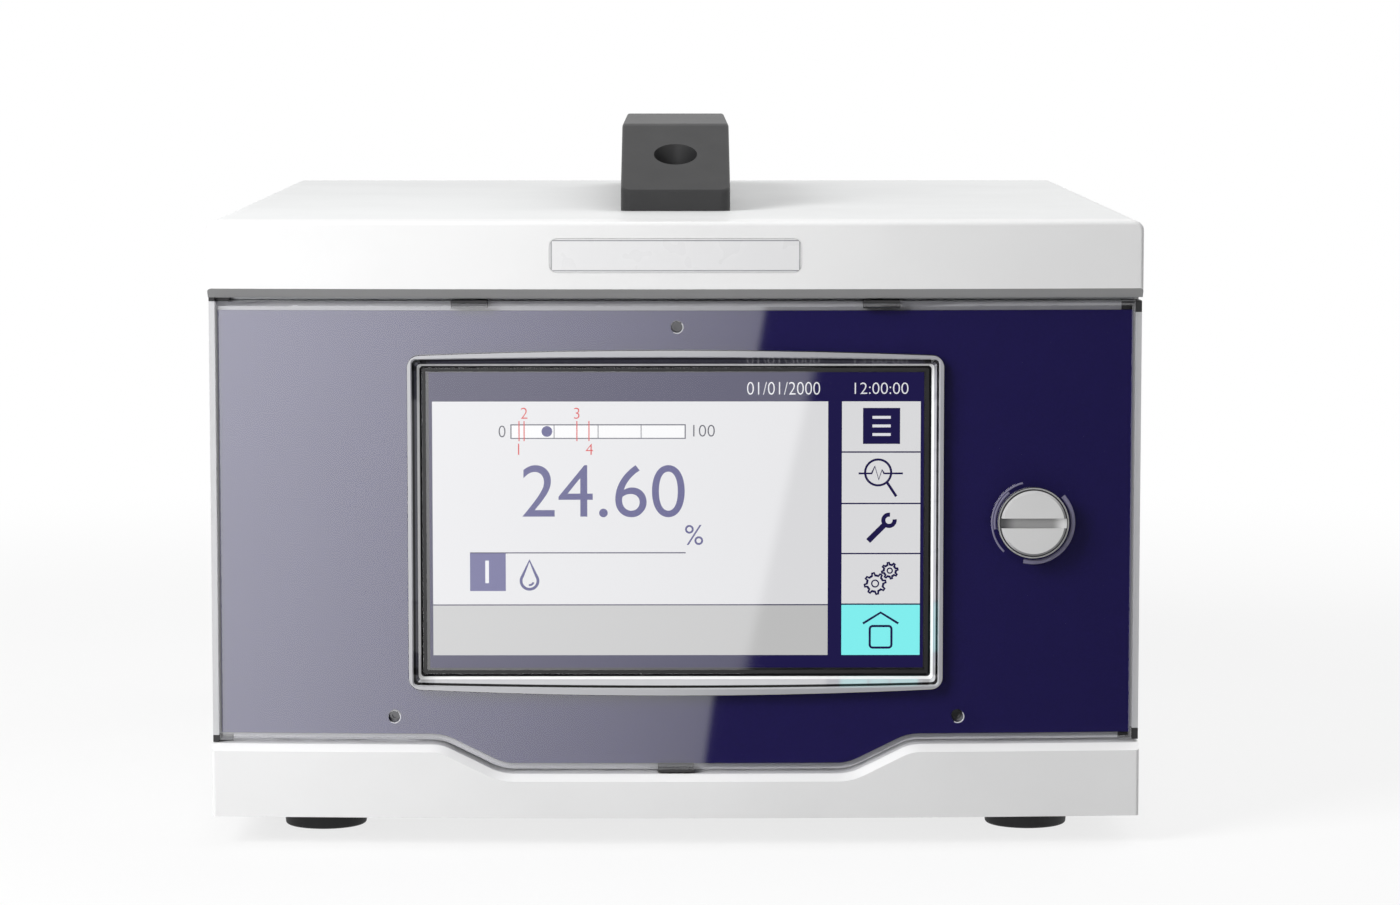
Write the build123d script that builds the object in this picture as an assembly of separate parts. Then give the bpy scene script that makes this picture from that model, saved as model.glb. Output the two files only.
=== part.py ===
from build123d import *
import math
import os

# Electronics unit of a moisture analyzer, in millimetres.
# X runs from left to right, Z runs up, and Y is first measured back from the middle of the bowed front.
# write() moves the finished pieces so that the origin lies under the middle of the whole unit.

os.makedirs("parts", exist_ok=True)

# Window and display, which the front is laid out around
ACTIVE_WIDTH = 152.4
ACTIVE_HEIGHT = 91.4
ACTIVE_RECESS = 0.4
LIT_BORDER_SIDE = 1.5
LIT_BORDER_END = 1.6
GLASS_LIP_SIDE = 1.15
WINDOW_RIM_END = 3.9
WINDOW_CROWN = 1.8
WINDOW_CORNER = 3.6
GLASS_LAP_SIDE = 5.3
GLASS_LAP_END = 5.95
GLASS_THICKNESS = 1.8
GLASS_CORNER = 2.0
GLASS_FRONT = 10.0
FLOOR_CORNER = 1.0
WALL_ANGLE = 29.0
FUNNEL_CORNER = 1.6
MODULE_BORDER = 6.3
MODULE_THICKNESS = 6.6
DISPLAY_GAP = 0.1
BRACKET_SHEET = 1.2
BRACKET_EAR = 9.0
BRACKET_INSET = 4.0
BRACKET_SCREW_INSET = 10.0
BRACKET_SCREW_GRIP = 4.5
BRACKET_WINDOW_WIDTH = 104.0
BRACKET_WINDOW_HEIGHT = 56.0
BRACKET_WINDOW_CORNER = 4.0
DISPLAY_BOARD_WIDTH = 140.0
DISPLAY_BOARD_HEIGHT = 84.0
BOARD_THICKNESS = 1.6
DISPLAY_STANDOFF = 6.0
DISPLAY_CHIPS = (
    (-20.0, 8.0, 22.0, 22.0, 1.6),
    (22.0, 12.0, 14.0, 18.0, 1.2),
    (44.0, -20.0, 20.0, 8.0, 5.0),
    (-44.0, -24.0, 26.0, 7.0, 5.0),
)
FLOOR_WIDTH = ACTIVE_WIDTH + 2 * LIT_BORDER_SIDE
FLOOR_HEIGHT = LIT_BORDER_END + ACTIVE_HEIGHT + LIT_BORDER_END
GLASS_WIDTH = FLOOR_WIDTH + 2 * GLASS_LAP_SIDE
GLASS_HEIGHT = FLOOR_HEIGHT + 2 * GLASS_LAP_END
WINDOW_WIDTH = GLASS_WIDTH - 2 * GLASS_LIP_SIDE
WINDOW_HEIGHT_ENDS = WINDOW_RIM_END + FLOOR_HEIGHT + WINDOW_RIM_END
WINDOW_HEIGHT_MIDDLE = WINDOW_HEIGHT_ENDS + 2 * WINDOW_CROWN
MODULE_WIDTH = ACTIVE_WIDTH + 2 * MODULE_BORDER
MODULE_HEIGHT = ACTIVE_HEIGHT + 2 * MODULE_BORDER
BRACKET_HEIGHT = MODULE_HEIGHT - 2 * BRACKET_INSET

# Housing
FOOT_HEIGHT = 9.0
SIDE_FIELD = 60.65
WINDOW_SILL = 39.4
DOOR_FIELD_ABOVE = 14.8
UPPER_BAND = 24.6
HOUSING_DEPTH = 330.0
FRONT_BOW = 4.5
SHEET = 1.5
CORNER_RADIUS = 3.0
SEAT_GAP = 0.3
FIT = 0.05
THREAD_SHOWN = 1.0
PICK = 0.1

WIDTH = WINDOW_WIDTH + 2 * SIDE_FIELD
HALF_WIDTH = WIDTH / 2
BASE_Z = FOOT_HEIGHT
WINDOW_Z = BASE_Z + WINDOW_SILL + WINDOW_HEIGHT_ENDS / 2
DOOR_TOP = WINDOW_Z + WINDOW_HEIGHT_MIDDLE / 2 + DOOR_FIELD_ABOVE
TOP_Z = DOOR_TOP + UPPER_BAND
HOUSING_HEIGHT = TOP_Z - BASE_Z
BOW_RADIUS = (HALF_WIDTH**2 + FRONT_BOW**2) / (2 * FRONT_BOW)
INNER_HALF = HALF_WIDTH - SHEET - SEAT_GAP

# Front fascias
FASCIA_DEPTH = 19.0
FASCIA_WALL = 2.5
FASCIA_EDGE_RADIUS = 1.2
LIP_BACK = 3.0
LIP_RISE = 2.9
LOWER_LIP_FALL = 2.0
DOOR_GAP_ABOVE = 1.2
DOOR_GAP_BELOW = 0.8
HINGE_BOSS_WIDTH = 9.0
HINGE_BOSS_HEIGHT = 12.0
FASCIA_BOSS_RADIUS = 3.4
FASCIA_BOSS_INSET = 20.5
FASCIA_BOSS_SPREAD = 32.0
FASCIA_BOSS_X = (
    HALF_WIDTH - FASCIA_BOSS_INSET - FASCIA_BOSS_SPREAD,
    HALF_WIDTH - FASCIA_BOSS_INSET,
)
FASCIA_SCREW_GRIP = 6.0
UPPER_BOSS_DROP = 9.0
UPPER_BOSS_Z = TOP_Z - UPPER_BOSS_DROP
LOWER_BOSS_LIFT = 10.0
LOWER_BOSS_Z = BASE_Z + LOWER_BOSS_LIFT

# Badge, left bare
BADGE_WIDTH = 76.5
BADGE_HEIGHT = 10.3
BADGE_THICKNESS = 0.9
BADGE_CORNER = 2.5
BADGE_DROP = 10.3
BADGE_Z = TOP_Z - BADGE_DROP
BADGE_SETBACK = 0.1

# Door outline
DOOR_SETBACK = 3.0
DOOR_LOW_END = 32.1
DOOR_LOW_MIDDLE = 23.1
BEND_START = 75.0
BEND_SLOPE = 26.0
OUTER_BEND_RADIUS = 14.0
INNER_BEND_RADIUS = 15.5
DOOR_BACK = 17.0

# Door skins
COVER_SKIN = 3.0
COVER_SIDE_GAP = 1.9
COVER_EDGE_RADIUS = 1.4
PANEL_THICKNESS = 1.5
PANEL_INSET_TOP = 2.85
PANEL_INSET_BOTTOM = 2.1
PANEL_INSET_SIDE = 0.6
SKIN_GAP = 0.1
STRIP_SETBACK = 4.5
POCKET_CLEAR = 15.15
POCKET_EDGE = 14.5
POCKET_INNER = WINDOW_WIDTH / 2 + POCKET_CLEAR
POCKET_OUTER = HALF_WIDTH - POCKET_EDGE
POCKET_RIB = 3.0
POCKET_MARGIN = 12.0
POCKET_DEPTH = 4.0
COVER_HALF = HALF_WIDTH - COVER_SIDE_GAP
FRAME_SKIN_FRONT = DOOR_SETBACK + COVER_SKIN + PANEL_THICKNESS + 2 * SKIN_GAP

# Small screws, standoffs and clips
SMALL_SCREW_RADIUS = 1.4
SMALL_HEAD_RADIUS = 2.6
SMALL_HEAD_HEIGHT = 1.8
STANDOFF_ACROSS = 5.5
FIXING_HOLE_RADIUS = 1.85
FIXING_HEAD_RADIUS = 1.75
FIXING_HEAD_HEIGHT = 2.0
FIXING_SEAT_DEPTH = 0.5
FIXING_SHANK_RADIUS = 1.0
FIXING_LENGTH = 6.0
FIXING_RECESS = 1.0
FIXING_CLEAR_SIDE = 4.65
FIXING_CLEAR_ABOVE = 7.2
FIXING_LIFT = 7.7
FIXING_OFFSET = 0.1
FIXING_OFFSET_ABOVE = 0.4
FIXING_PLACES = (
    (FIXING_OFFSET_ABOVE, WINDOW_Z + WINDOW_HEIGHT_MIDDLE / 2 + FIXING_CLEAR_ABOVE),
    (FIXING_OFFSET - WINDOW_WIDTH / 2 - FIXING_CLEAR_SIDE, DOOR_LOW_END + FIXING_LIFT),
    (FIXING_OFFSET + WINDOW_WIDTH / 2 + FIXING_CLEAR_SIDE, DOOR_LOW_END + FIXING_LIFT),
)
CLIP_WIDTH = 11.0
CLIP_PROUD = 0.4
CLIP_DEPTH = 7.0
CLIP_X = 62.8
CLIP_SETBACK = 0.4
CLIP_HEIGHT = PANEL_INSET_BOTTOM + CLIP_PROUD - 2 * SKIN_GAP

# Door hinge
HINGE_KNUCKLE = 2.8
PIN_RADIUS = 1.25
PIN_IN_DOOR = 9.0
BUSH_BLIND_END = 1.0
PIN_IN_FASCIA = 8.0
BUSH_RADIUS = 1.8
BUSH_FLANGE_WIDTH = 6.0
BUSH_SUNK = 1.4
BUSH_RUNNING_GAP = 0.1
BUFFER_HEIGHT = 3.4
BUFFER_WIDTH = 6.0
HINGE_X = -(HALF_WIDTH - HINGE_KNUCKLE)
HINGE_Y = DOOR_BACK - HINGE_KNUCKLE

# Door latch
LATCH_INSET = 33.1
LATCH_LIFT = 0.1
LATCH_X = HALF_WIDTH - LATCH_INSET
LATCH_Z = WINDOW_Z + LATCH_LIFT
COLLAR_RADIUS = 13.0
COLLAR_FRONT = 4.8
BARREL_FLANGE_RADIUS = 10.95
BARREL_FLANGE = 1.4
BARREL_RECESS = 0.9
BARREL_RADIUS = 8.0
BARREL_HOLE_RADIUS = 8.2
BARREL_BACK = 21.6
BARREL_NUT_ACROSS = 21.0
BARREL_NUT_HEIGHT = 3.0
LATCH_HEAD_RADIUS = 10.25
LATCH_HEAD_BEVEL = 0.9
LATCH_HEAD_PROUD = 1.0
LATCH_HEAD_GAP = 0.1
LATCH_SHAFT_RADIUS = 4.0
LATCH_RUNNING_FIT = 0.06
COIN_SLOT_WIDTH = 3.0
COIN_SLOT_DEPTH = 1.4
CAM_FRONT = 22.6
CAM_THICKNESS = 2.5
CAM_REACH = 25.0
CAM_HALF_WIDTH = 6.0
CAM_SQUARE = 5.6
CAM_STUD_RADIUS = 2.5
CAM_NUT_ACROSS = 8.0
CAM_NUT_HEIGHT = 3.5

# Inner front frame
FRAME_THICKNESS = 3.0
OPENING_EDGE = 14.5
OPENING_DROP = 7.4
OPENING_SIDE = HALF_WIDTH - OPENING_EDGE
OPENING_LOW = 40.0
OPENING_HIGH = DOOR_TOP - OPENING_DROP
OPENING_CORNER = 8.0
FRAME_FLANGE = 14.0
FRAME_FLANGE_SHEET = 2.0
FRAME_FOOT_X = 60.0
FRAME_BACK = FASCIA_DEPTH + FRAME_THICKNESS
GASKET_WIDTH = 4.0
GASKET_MARGIN = 3.0

# Handle
HANDLE_FRONT = 72.0
HANDLE_LENGTH = 236.0
HANDLE_WIDTH = 34.9
HANDLE_HEIGHT = 26.7
HANDLE_FACE = 6.6
HANDLE_SLOPE_RUN = 45.5
HANDLE_CREST_RADIUS = 9.0
HANDLE_ARCH_RADIUS = 7.0
HANDLE_KEY_ACROSS = 4.0
HANDLE_GRIP = 10.5
HANDLE_FOOT = 43.0
HANDLE_ARCH_RUN = 12.0
HANDLE_CORNER = 3.0
HANDLE_EDGE = 1.0
HANDLE_HOLE_RADIUS = 7.0
HANDLE_HOLE_INSET = 24.2
HANDLE_SEAT = 7.0
HANDLE_SCREW_RADIUS = 2.5
HANDLE_HEAD_RADIUS = 4.2
HANDLE_HEAD_HEIGHT = 5.0
HANDLE_NUT_ACROSS = 8.0
HANDLE_NUT_HEIGHT = 4.0

# Feet
FOOT_RADIUS = 13.4
FOOT_INSET = 31.9
FOOT_X = HALF_WIDTH - FOOT_INSET
FOOT_FRONT_Y = 43.5
FOOT_REAR_INSET = 40.0
FOOT_TAPER = 0.7
FOOT_EDGE = 0.8
FOOT_RECESS_RADIUS = 5.5
FOOT_RECESS = 4.5
FOOT_SCREW_RADIUS = 2.0
FOOT_HEAD_RADIUS = 3.8
FOOT_HEAD_HEIGHT = 2.6
FOOT_BOSS_RADIUS = 5.0
FOOT_BOSS_HEIGHT = 5.0

# Base tray, top cover and rear panel
TRAY_FLANGE = 18.0
REAR_INSET = 2.0
REAR_FLANGE = 14.0
TRAY_REAR_FLANGE = 9.0
COVER_SCREW_RADIUS = 1.5
COVER_SCREW_HEAD = 2.9
COVER_SCREW_LENGTH = 7.0
PANEL_BACK = HOUSING_DEPTH - REAR_INSET
PANEL_FRONT = PANEL_BACK - SHEET
LOW_SCREW_LIFT = 8.0
HIGH_SCREW_DROP = 22.0
LOW_SCREW_Z = BASE_Z + SHEET + LOW_SCREW_LIFT
HIGH_SCREW_Z = TOP_Z - HIGH_SCREW_DROP
LOW_SCREW_Y = (60.0, 172.0, 284.0)
HIGH_SCREW_EDGE = 7.0
HIGH_SCREW_Y = (FRAME_BACK + HIGH_SCREW_EDGE, PANEL_FRONT - HIGH_SCREW_EDGE)
PANEL_SCREW_LIFT = 4.0
PANEL_SCREW_EDGE = 24.5
PANEL_SCREW_Z = BASE_Z + SHEET + PANEL_SCREW_LIFT
AIR_SLOTS = 9
AIR_SLOT_LENGTH = 44.0
AIR_SLOT_WIDTH = 3.0
AIR_SLOT_PITCH = 9.0
AIR_SLOT_INSET = 50.5
AIR_SLOT_X = HALF_WIDTH - AIR_SLOT_INSET
AIR_SLOT_FRONT = 178.0
VENT_COUNT = 14
VENT_PITCH = 8.0
VENT_WIDTH = 3.0
VENT_HEIGHT = 26.0
VENT_DROP = 29.0
VENT_Z = TOP_Z - VENT_DROP

# Boards from side to side
SUPPLY_WIDTH = 76.0
SUPPLY_EDGE = 10.5
BOARD_EDGE = 20.5
BOARD_SPACING = 10.0
SUPPLY_RIGHT = HALF_WIDTH - SUPPLY_EDGE
SUPPLY_LEFT = SUPPLY_RIGHT - SUPPLY_WIDTH
BOARD_LEFT = BOARD_EDGE - HALF_WIDTH
BOARD_RIGHT = SUPPLY_LEFT - BOARD_SPACING
PANEL_SCREW_X = (PANEL_SCREW_EDGE - HALF_WIDTH, BOARD_RIGHT)

# Main board
BOARD_FRONT = 176.0
BOARD_BACK = 322.0
BOARD_STANDOFF = 8.0
BOARD_SCREW_INSET = 5.0
BOARD_LOW = BASE_Z + SHEET + BOARD_STANDOFF
BOARD_TOP = BOARD_LOW + BOARD_THICKNESS
MAIN_CHIPS = (
    (62.0, 236.0, 27.0, 27.0, 2.4),
    (106.0, 226.0, 14.0, 20.0, 1.6),
    (136.0, 244.0, 12.0, 18.0, 1.6),
    (24.0, 252.0, 16.0, 24.0, 6.0),
    (134.0, 288.0, 24.0, 15.0, 12.0),
    (86.0, 284.0, 30.0, 10.0, 3.0),
)

# Power supply
SUPPLY_FRONT = 150.0
SUPPLY_BACK = 284.0
SUPPLY_CHIPS = ((62.0, 200.0, 16.0, 26.0, 14.0), (40.0, 276.0, 30.0, 9.0, 10.0))
TRANSFORMER_INSET = 42.0
TRANSFORMER_X = SUPPLY_LEFT + TRANSFORMER_INSET
TRANSFORMER_Y = 240.0
TRANSFORMER_WIDTH = 36.0
TRANSFORMER_LENGTH = 40.0
TRANSFORMER_HEIGHT = 34.0
CAPACITOR_RADIUS = 9.0
CAPACITOR_HEIGHT = 30.0
CAPACITOR_INSET = 36.0
CAPACITOR_X = SUPPLY_LEFT + CAPACITOR_INSET
CAPACITOR_Y = 166.0
CAPACITOR_PITCH = 21.0
CAPACITOR_EDGE = 1.0
HEATSINK_FINS = 7
HEATSINK_LENGTH = 60.0
HEATSINK_HEIGHT = 28.0
HEATSINK_BASE = 3.0
HEATSINK_FIN = 1.2
HEATSINK_DEPTH = 14.0
HEATSINK_INSET = 4.0

# Power entry
ENTRY_INSET = 42.5
ENTRY_X = HALF_WIDTH - ENTRY_INSET
ENTRY_Z = 62.0
ENTRY_FLANGE_WIDTH = 32.0
ENTRY_FLANGE_HEIGHT = 78.0
ENTRY_FLANGE = 2.5
ENTRY_BODY_WIDTH = 27.4
ENTRY_BODY_HEIGHT = 67.0
ENTRY_BODY_DEPTH = 30.0
ENTRY_CORNER = 2.5
PANEL_CUT_GAP = 0.3
INLET_WIDTH = 24.4
INLET_HEIGHT = 16.4
INLET_DEPTH = 17.0
INLET_CHAMFER = 4.5
INLET_DROP = 18.0
INLET_PIN_PITCH = 7.0
INLET_PIN_LIFT = 4.0
INLET_PIN_WIDTH = 2.0
INLET_PIN_HEIGHT = 4.0
INLET_PIN_LENGTH = 14.0
INLET_PIN_POINT = 0.6
DRAWER_LIFT = 1.0
DRAWER_WIDTH = 22.0
DRAWER_HEIGHT = 9.4
DRAWER_DEPTH = 24.0
DRAWER_GAP = 0.2
DRAWER_WALL = 1.4
DRAWER_PROUD = 1.0
DRAWER_NOTCH = 12.0
FUSE_RADIUS = 2.5
FUSE_LENGTH = 18.0
FUSE_SPREAD = 5.0
ROCKER_LIFT = 20.0
ROCKER_WIDTH = 20.4
ROCKER_RADIUS = 8.0
ROCKER_GAP = 0.2
ROCKER_ANGLE = 8.0
ROCKER_VALLEY = 1.6
ROCKER_PIVOT_INSET = 2.2
ROCKER_STUB_RADIUS = 1.2
ROCKER_STUB_LENGTH = 1.0
ROCKER_THICKNESS = 4.0

# Connectors on the rear
SOCKET_INSET = 26.0
SOCKET_SPACING = 40.0
SOCKET_X = tuple(BOARD_LEFT + SOCKET_INSET + i * SOCKET_SPACING for i in range(3))
SOCKET_Z = 112.0
SOCKET_FLANGE_RADIUS = 13.0
SOCKET_FLANGE = 2.5
SOCKET_BARREL_RADIUS = 8.6
SOCKET_PROUD = 11.0
SOCKET_BORE = 7.0
SOCKET_BORE_DEPTH = 10.0
SOCKET_DISC = 1.5
SOCKET_THREAD_RADIUS = 9.0
SOCKET_INSIDE = 10.0
SOCKET_NUT_ACROSS = 22.0
SOCKET_NUT_HEIGHT = 3.0
SOCKET_PIN_RADIUS = 0.6
SOCKET_PIN_LENGTH = 4.0
SOCKET_PIN_CIRCLE = 4.0
SOCKET_PINS = 5
NETWORK_INSET = 24.0
NETWORK_X = BOARD_LEFT + NETWORK_INSET
NETWORK_WIDTH = 16.0
NETWORK_HEIGHT = 13.5
NETWORK_DEPTH = 21.0
NETWORK_MOUTH_WIDTH = 12.0
NETWORK_MOUTH_HEIGHT = 8.0
NETWORK_MOUTH_DEPTH = 12.0
NETWORK_KEY_WIDTH = 6.0
NETWORK_KEY_HEIGHT = 2.4
SERVICE_INSET = 48.0
SERVICE_X = BOARD_LEFT + SERVICE_INSET
SERVICE_WIDTH = 12.0
SERVICE_HEIGHT = 11.0
SERVICE_DEPTH = 16.0
SERVICE_MOUTH = 8.4
SERVICE_MOUTH_DEPTH = 9.0
SERVICE_TONGUE_WIDTH = 5.6
SERVICE_TONGUE_HEIGHT = 3.2
SERVICE_TONGUE_LENGTH = 4.5
CONNECTOR_PROUD = 1.0
TERMINAL_PITCH = 5.08
SIGNAL_WAYS = 8
SIGNAL_INSET = 86.0
SIGNAL_X = BOARD_LEFT + SIGNAL_INSET
RELAY_WAYS = 6
RELAY_INSET = 138.0
RELAY_X = BOARD_LEFT + RELAY_INSET
HEADER_HEIGHT = 9.0
HEADER_DEPTH = 15.0
HEADER_WALL = 1.0
PLUG_HEIGHT = 11.0
PLUG_PROUD = 9.5
WIRE_HOLE = 2.8
WIRE_HOLE_DEPTH = 5.0
CLAMP_HOLE_RADIUS = 1.3
CLAMP_HOLE_DEPTH = 1.6
EARTH_SPACING = 34.0
EARTH_X = ENTRY_X - EARTH_SPACING
EARTH_Z = 34.0
EARTH_RADIUS = 2.0
EARTH_ROOT_RADIUS = 2.4
EARTH_PROUD = 16.0
EARTH_NUT_ACROSS = 7.0
EARTH_NUT_HEIGHT = 3.2
EARTH_INSIDE = 9.0

OVERALL_DEPTH = PANEL_BACK + EARTH_PROUD
TRAY_TOP = BASE_Z + SHEET
MODULE_BACK = GLASS_FRONT + GLASS_THICKNESS + DISPLAY_GAP + MODULE_THICKNESS
BRACKET_BACK = MODULE_BACK + DISPLAY_GAP + BRACKET_SHEET
CAM_BACK = CAM_FRONT + CAM_THICKNESS
ENTRY_BACK = PANEL_BACK + ENTRY_FLANGE
INLET_Z = ENTRY_Z - INLET_DROP
DRAWER_Z = ENTRY_Z + DRAWER_LIFT
ROCKER_Z = ENTRY_Z + ROCKER_LIFT
ROCKER_Y = ENTRY_BACK - ROCKER_PIVOT_INSET
CONNECTOR_BACK = PANEL_BACK + CONNECTOR_PROUD


def bow(x):
    """How far the bowed front has fallen back at x."""
    return BOW_RADIUS - math.sqrt(BOW_RADIUS**2 - x**2)


def bow_arc(left, right, depth):
    """The front's curve seen from above, at a depth behind the fascia's middle."""
    middle = (left + right) / 2
    return ThreePointArc(
        (left, depth + bow(left)),
        (middle, depth + bow(middle)),
        (right, depth + bow(right)),
    )


def bowed_block(left, right, low, high, front, back):
    """A block with a bowed front and a flat back."""
    arc = bow_arc(left, right, front)
    sides = Polyline(arc @ 1, (right, back), (left, back), arc @ 0)
    return Pos(0, 0, low) * extrude(make_face([arc, *sides.edges()]), high - low)


def bowed_plate(left, right, low, high, front, back):
    """A plate that is bowed on both faces."""
    outer = bow_arc(left, right, front)
    inner = bow_arc(left, right, back)
    ends = [Line(outer @ 1, inner @ 1), Line(inner @ 0, outer @ 0)]
    return Pos(0, 0, low) * extrude(make_face([outer, inner, *ends]), high - low)


def block(left, right, front, back, low, high):
    """A plain block between six limits."""
    size = (right - left, back - front, high - low)
    centre = ((left + right) / 2, (front + back) / 2, (low + high) / 2)
    return Pos(*centre) * Box(*size)


def upright(sketch, front, back):
    """A sketch drawn in X and Z, run from one depth to another."""
    plane = Plane((0, front, 0), x_dir=(1, 0, 0), z_dir=(0, -1, 0))
    return extrude(plane * sketch, back - front, dir=(0, 1, 0))


def rod(x, z, radius, front, back):
    """A round bar along Y."""
    return upright(Pos(x, z) * Circle(radius), front, back)


def post(x, y, radius, low, high):
    """A round bar along Z."""
    return Pos(x, y, (low + high) / 2) * Cylinder(radius, high - low)


def cross_rod(y, z, radius, left, right):
    """A round bar along X."""
    return Pos((left + right) / 2, y, z) * Rot(0, 90, 0) * Cylinder(radius, right - left)


def hexagon(across):
    """A hexagon by its width across the flats."""
    return RegularPolygon(across / 2, 6, major_radius=False)


def screw_forward(x, z, seat, length):
    """A small screw that enters towards the front, its head behind the seat."""
    head = rod(x, z, SMALL_HEAD_RADIUS, seat, seat + SMALL_HEAD_HEIGHT)
    return head + rod(x, z, SMALL_SCREW_RADIUS, seat - length, seat)


def screw_down(x, y, seat, length):
    """A small screw that enters downwards, its head above the seat."""
    head = post(x, y, SMALL_HEAD_RADIUS, seat, seat + SMALL_HEAD_HEIGHT)
    return head + post(x, y, SMALL_SCREW_RADIUS, seat - length, seat)


def polar_point(centre, radius, degrees):
    """A point on a circle, with the angle measured from straight up towards +X."""
    angle = math.radians(degrees)
    return (centre[0] + radius * math.sin(angle), centre[1] + radius * math.cos(angle))


def lower_edge(below):
    """The left half of the S-curved lower edge, at a distance below the door's own edge."""
    outer_centre = (-BEND_START, DOOR_LOW_END - OUTER_BEND_RADIUS)
    outer_radius = OUTER_BEND_RADIUS - below
    angle = math.radians(BEND_SLOPE)
    both = OUTER_BEND_RADIUS + INNER_BEND_RADIUS
    drop = DOOR_LOW_END - DOOR_LOW_MIDDLE - both * (1 - math.cos(angle))
    run = both * math.sin(angle) + drop / math.tan(angle)
    inner_centre = (run - BEND_START, DOOR_LOW_MIDDLE + INNER_BEND_RADIUS)
    inner_radius = INNER_BEND_RADIUS + below
    outer = [polar_point(outer_centre, outer_radius, a) for a in (0, BEND_SLOPE / 2, BEND_SLOPE)]
    inner = [
        polar_point(inner_centre, inner_radius, 180 + a)
        for a in (BEND_SLOPE, BEND_SLOPE / 2, 0)
    ]
    return ThreePointArc(*outer), Line(outer[2], inner[0]), ThreePointArc(*inner)


def front_outline(side, top, below):
    """The door's outline with other limits: straight top and sides, and the S-curved lower edge."""
    left = lower_edge(below)
    right = [mirror(part, about=Plane.YZ) for part in left]
    start = left[0] @ 0
    finish = left[2] @ 1
    frame = Polyline(
        (start.X, start.Y),
        (-side, start.Y),
        (-side, top),
        (side, top),
        (side, start.Y),
        (-start.X, start.Y),
    )
    floor = Line((finish.X, finish.Y), (-finish.X, finish.Y))
    return make_face([*left, *right, *frame.edges(), floor])


def lower_outline(side, bottom, below):
    """The lower fascia's outline: flat bottom and sides under the S-curved edge."""
    left = lower_edge(below)
    right = [mirror(part, about=Plane.YZ) for part in left]
    start = left[0] @ 0
    finish = left[2] @ 1
    frame = Polyline(
        (start.X, start.Y),
        (-side, start.Y),
        (-side, bottom),
        (side, bottom),
        (side, start.Y),
        (-start.X, start.Y),
    )
    floor = Line((finish.X, finish.Y), (-finish.X, finish.Y))
    return make_face([*left, *right, *frame.edges(), floor])


def window_outline(growth):
    """The window's barrel outline, grown on all sides."""
    half_width = WINDOW_WIDTH / 2 + growth
    middle = WINDOW_HEIGHT_MIDDLE / 2 + growth
    ends = WINDOW_HEIGHT_ENDS / 2 + growth
    top = ThreePointArc((-half_width, ends), (0, middle), (half_width, ends))
    bottom = ThreePointArc((half_width, -ends), (0, -middle), (-half_width, -ends))
    sides = [Line(top @ 1, bottom @ 0), Line(bottom @ 1, top @ 0)]
    face = make_face([top, sides[0], bottom, sides[1]])
    return Pos(0, WINDOW_Z) * fillet(face.vertices(), WINDOW_CORNER + growth)


def latch_collar():
    """The raised ring that the latch sits on."""
    back = DOOR_SETBACK + COVER_SKIN + bow(LATCH_X - COLLAR_RADIUS)
    return rod(LATCH_X, LATCH_Z, COLLAR_RADIUS, COLLAR_FRONT, back)


def fixing_seat(x):
    """Depth at which a door screw's head seats."""
    return FRAME_SKIN_FRONT + FIXING_SEAT_DEPTH + bow(x)


def fixing_holes(radius, front, back):
    """Holes for the three screws that hold the door's skins."""
    return [rod(x, z, radius, front, back) for x, z in FIXING_PLACES]


def door_screws():
    screws = []
    for x, z in FIXING_PLACES:
        seat = fixing_seat(x)
        head = rod(x, z, FIXING_HEAD_RADIUS, seat - FIXING_HEAD_HEIGHT, seat)
        recess = rod(x, z, FIXING_HEAD_RADIUS / 2, seat - FIXING_HEAD_HEIGHT, seat - FIXING_RECESS)
        shank = rod(x, z, FIXING_SHANK_RADIUS, seat, seat + FIXING_LENGTH)
        screws.append(head + shank - recess)
    return screws


def door_clips(gap):
    """Two clips in the door's top edge and one in its bottom edge, with a gap all round."""
    top = DOOR_TOP + CLIP_PROUD - CLIP_HEIGHT
    bottom = DOOR_LOW_MIDDLE - CLIP_PROUD
    clips = []
    for x, low in ((-CLIP_X, top), (CLIP_X, top), (0, bottom)):
        half = CLIP_WIDTH / 2 + gap
        front = DOOR_SETBACK + CLIP_SETBACK + bow(abs(x) + half) - gap
        back = front + CLIP_DEPTH + 2 * gap
        clips.append(block(x - half, x + half, front, back, low - gap, low + CLIP_HEIGHT + gap))
    return clips


def panel_outline(growth):
    """The coloured panel's outline, grown on all sides."""
    side = COVER_HALF - PANEL_INSET_SIDE + growth
    return front_outline(side, DOOR_TOP - PANEL_INSET_TOP + growth, growth - PANEL_INSET_BOTTOM)


def bowed_space(front, back):
    """All the room between two bowed depths."""
    return bowed_plate(-HALF_WIDTH, HALF_WIDTH, 0, TOP_Z, front, back)


def clear_cover():
    """The clear moulding over the door, with a rim round the coloured panel."""
    outline = upright(front_outline(COVER_HALF, DOOR_TOP, 0), 0, FASCIA_DEPTH)
    cover = (outline & bowed_space(DOOR_SETBACK, FRAME_SKIN_FRONT - SKIN_GAP)).solids()[0]
    outer_face = cover.faces().sort_by(Axis.Y)[0]
    cover = fillet(outer_face.edges(), COVER_EDGE_RADIUS)
    pocket = upright(panel_outline(SKIN_GAP), 0, FASCIA_DEPTH)
    cover -= pocket & bowed_space(DOOR_SETBACK + COVER_SKIN, FASCIA_DEPTH)
    cover += latch_collar()
    cover -= upright(window_outline(SKIN_GAP), 0, FASCIA_DEPTH)
    cover -= rod(LATCH_X, LATCH_Z, BARREL_HOLE_RADIUS, 0, FASCIA_DEPTH)
    cover -= fixing_holes(FIXING_HOLE_RADIUS, 0, FASCIA_DEPTH)
    cover -= door_clips(SKIN_GAP)
    return cover


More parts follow.
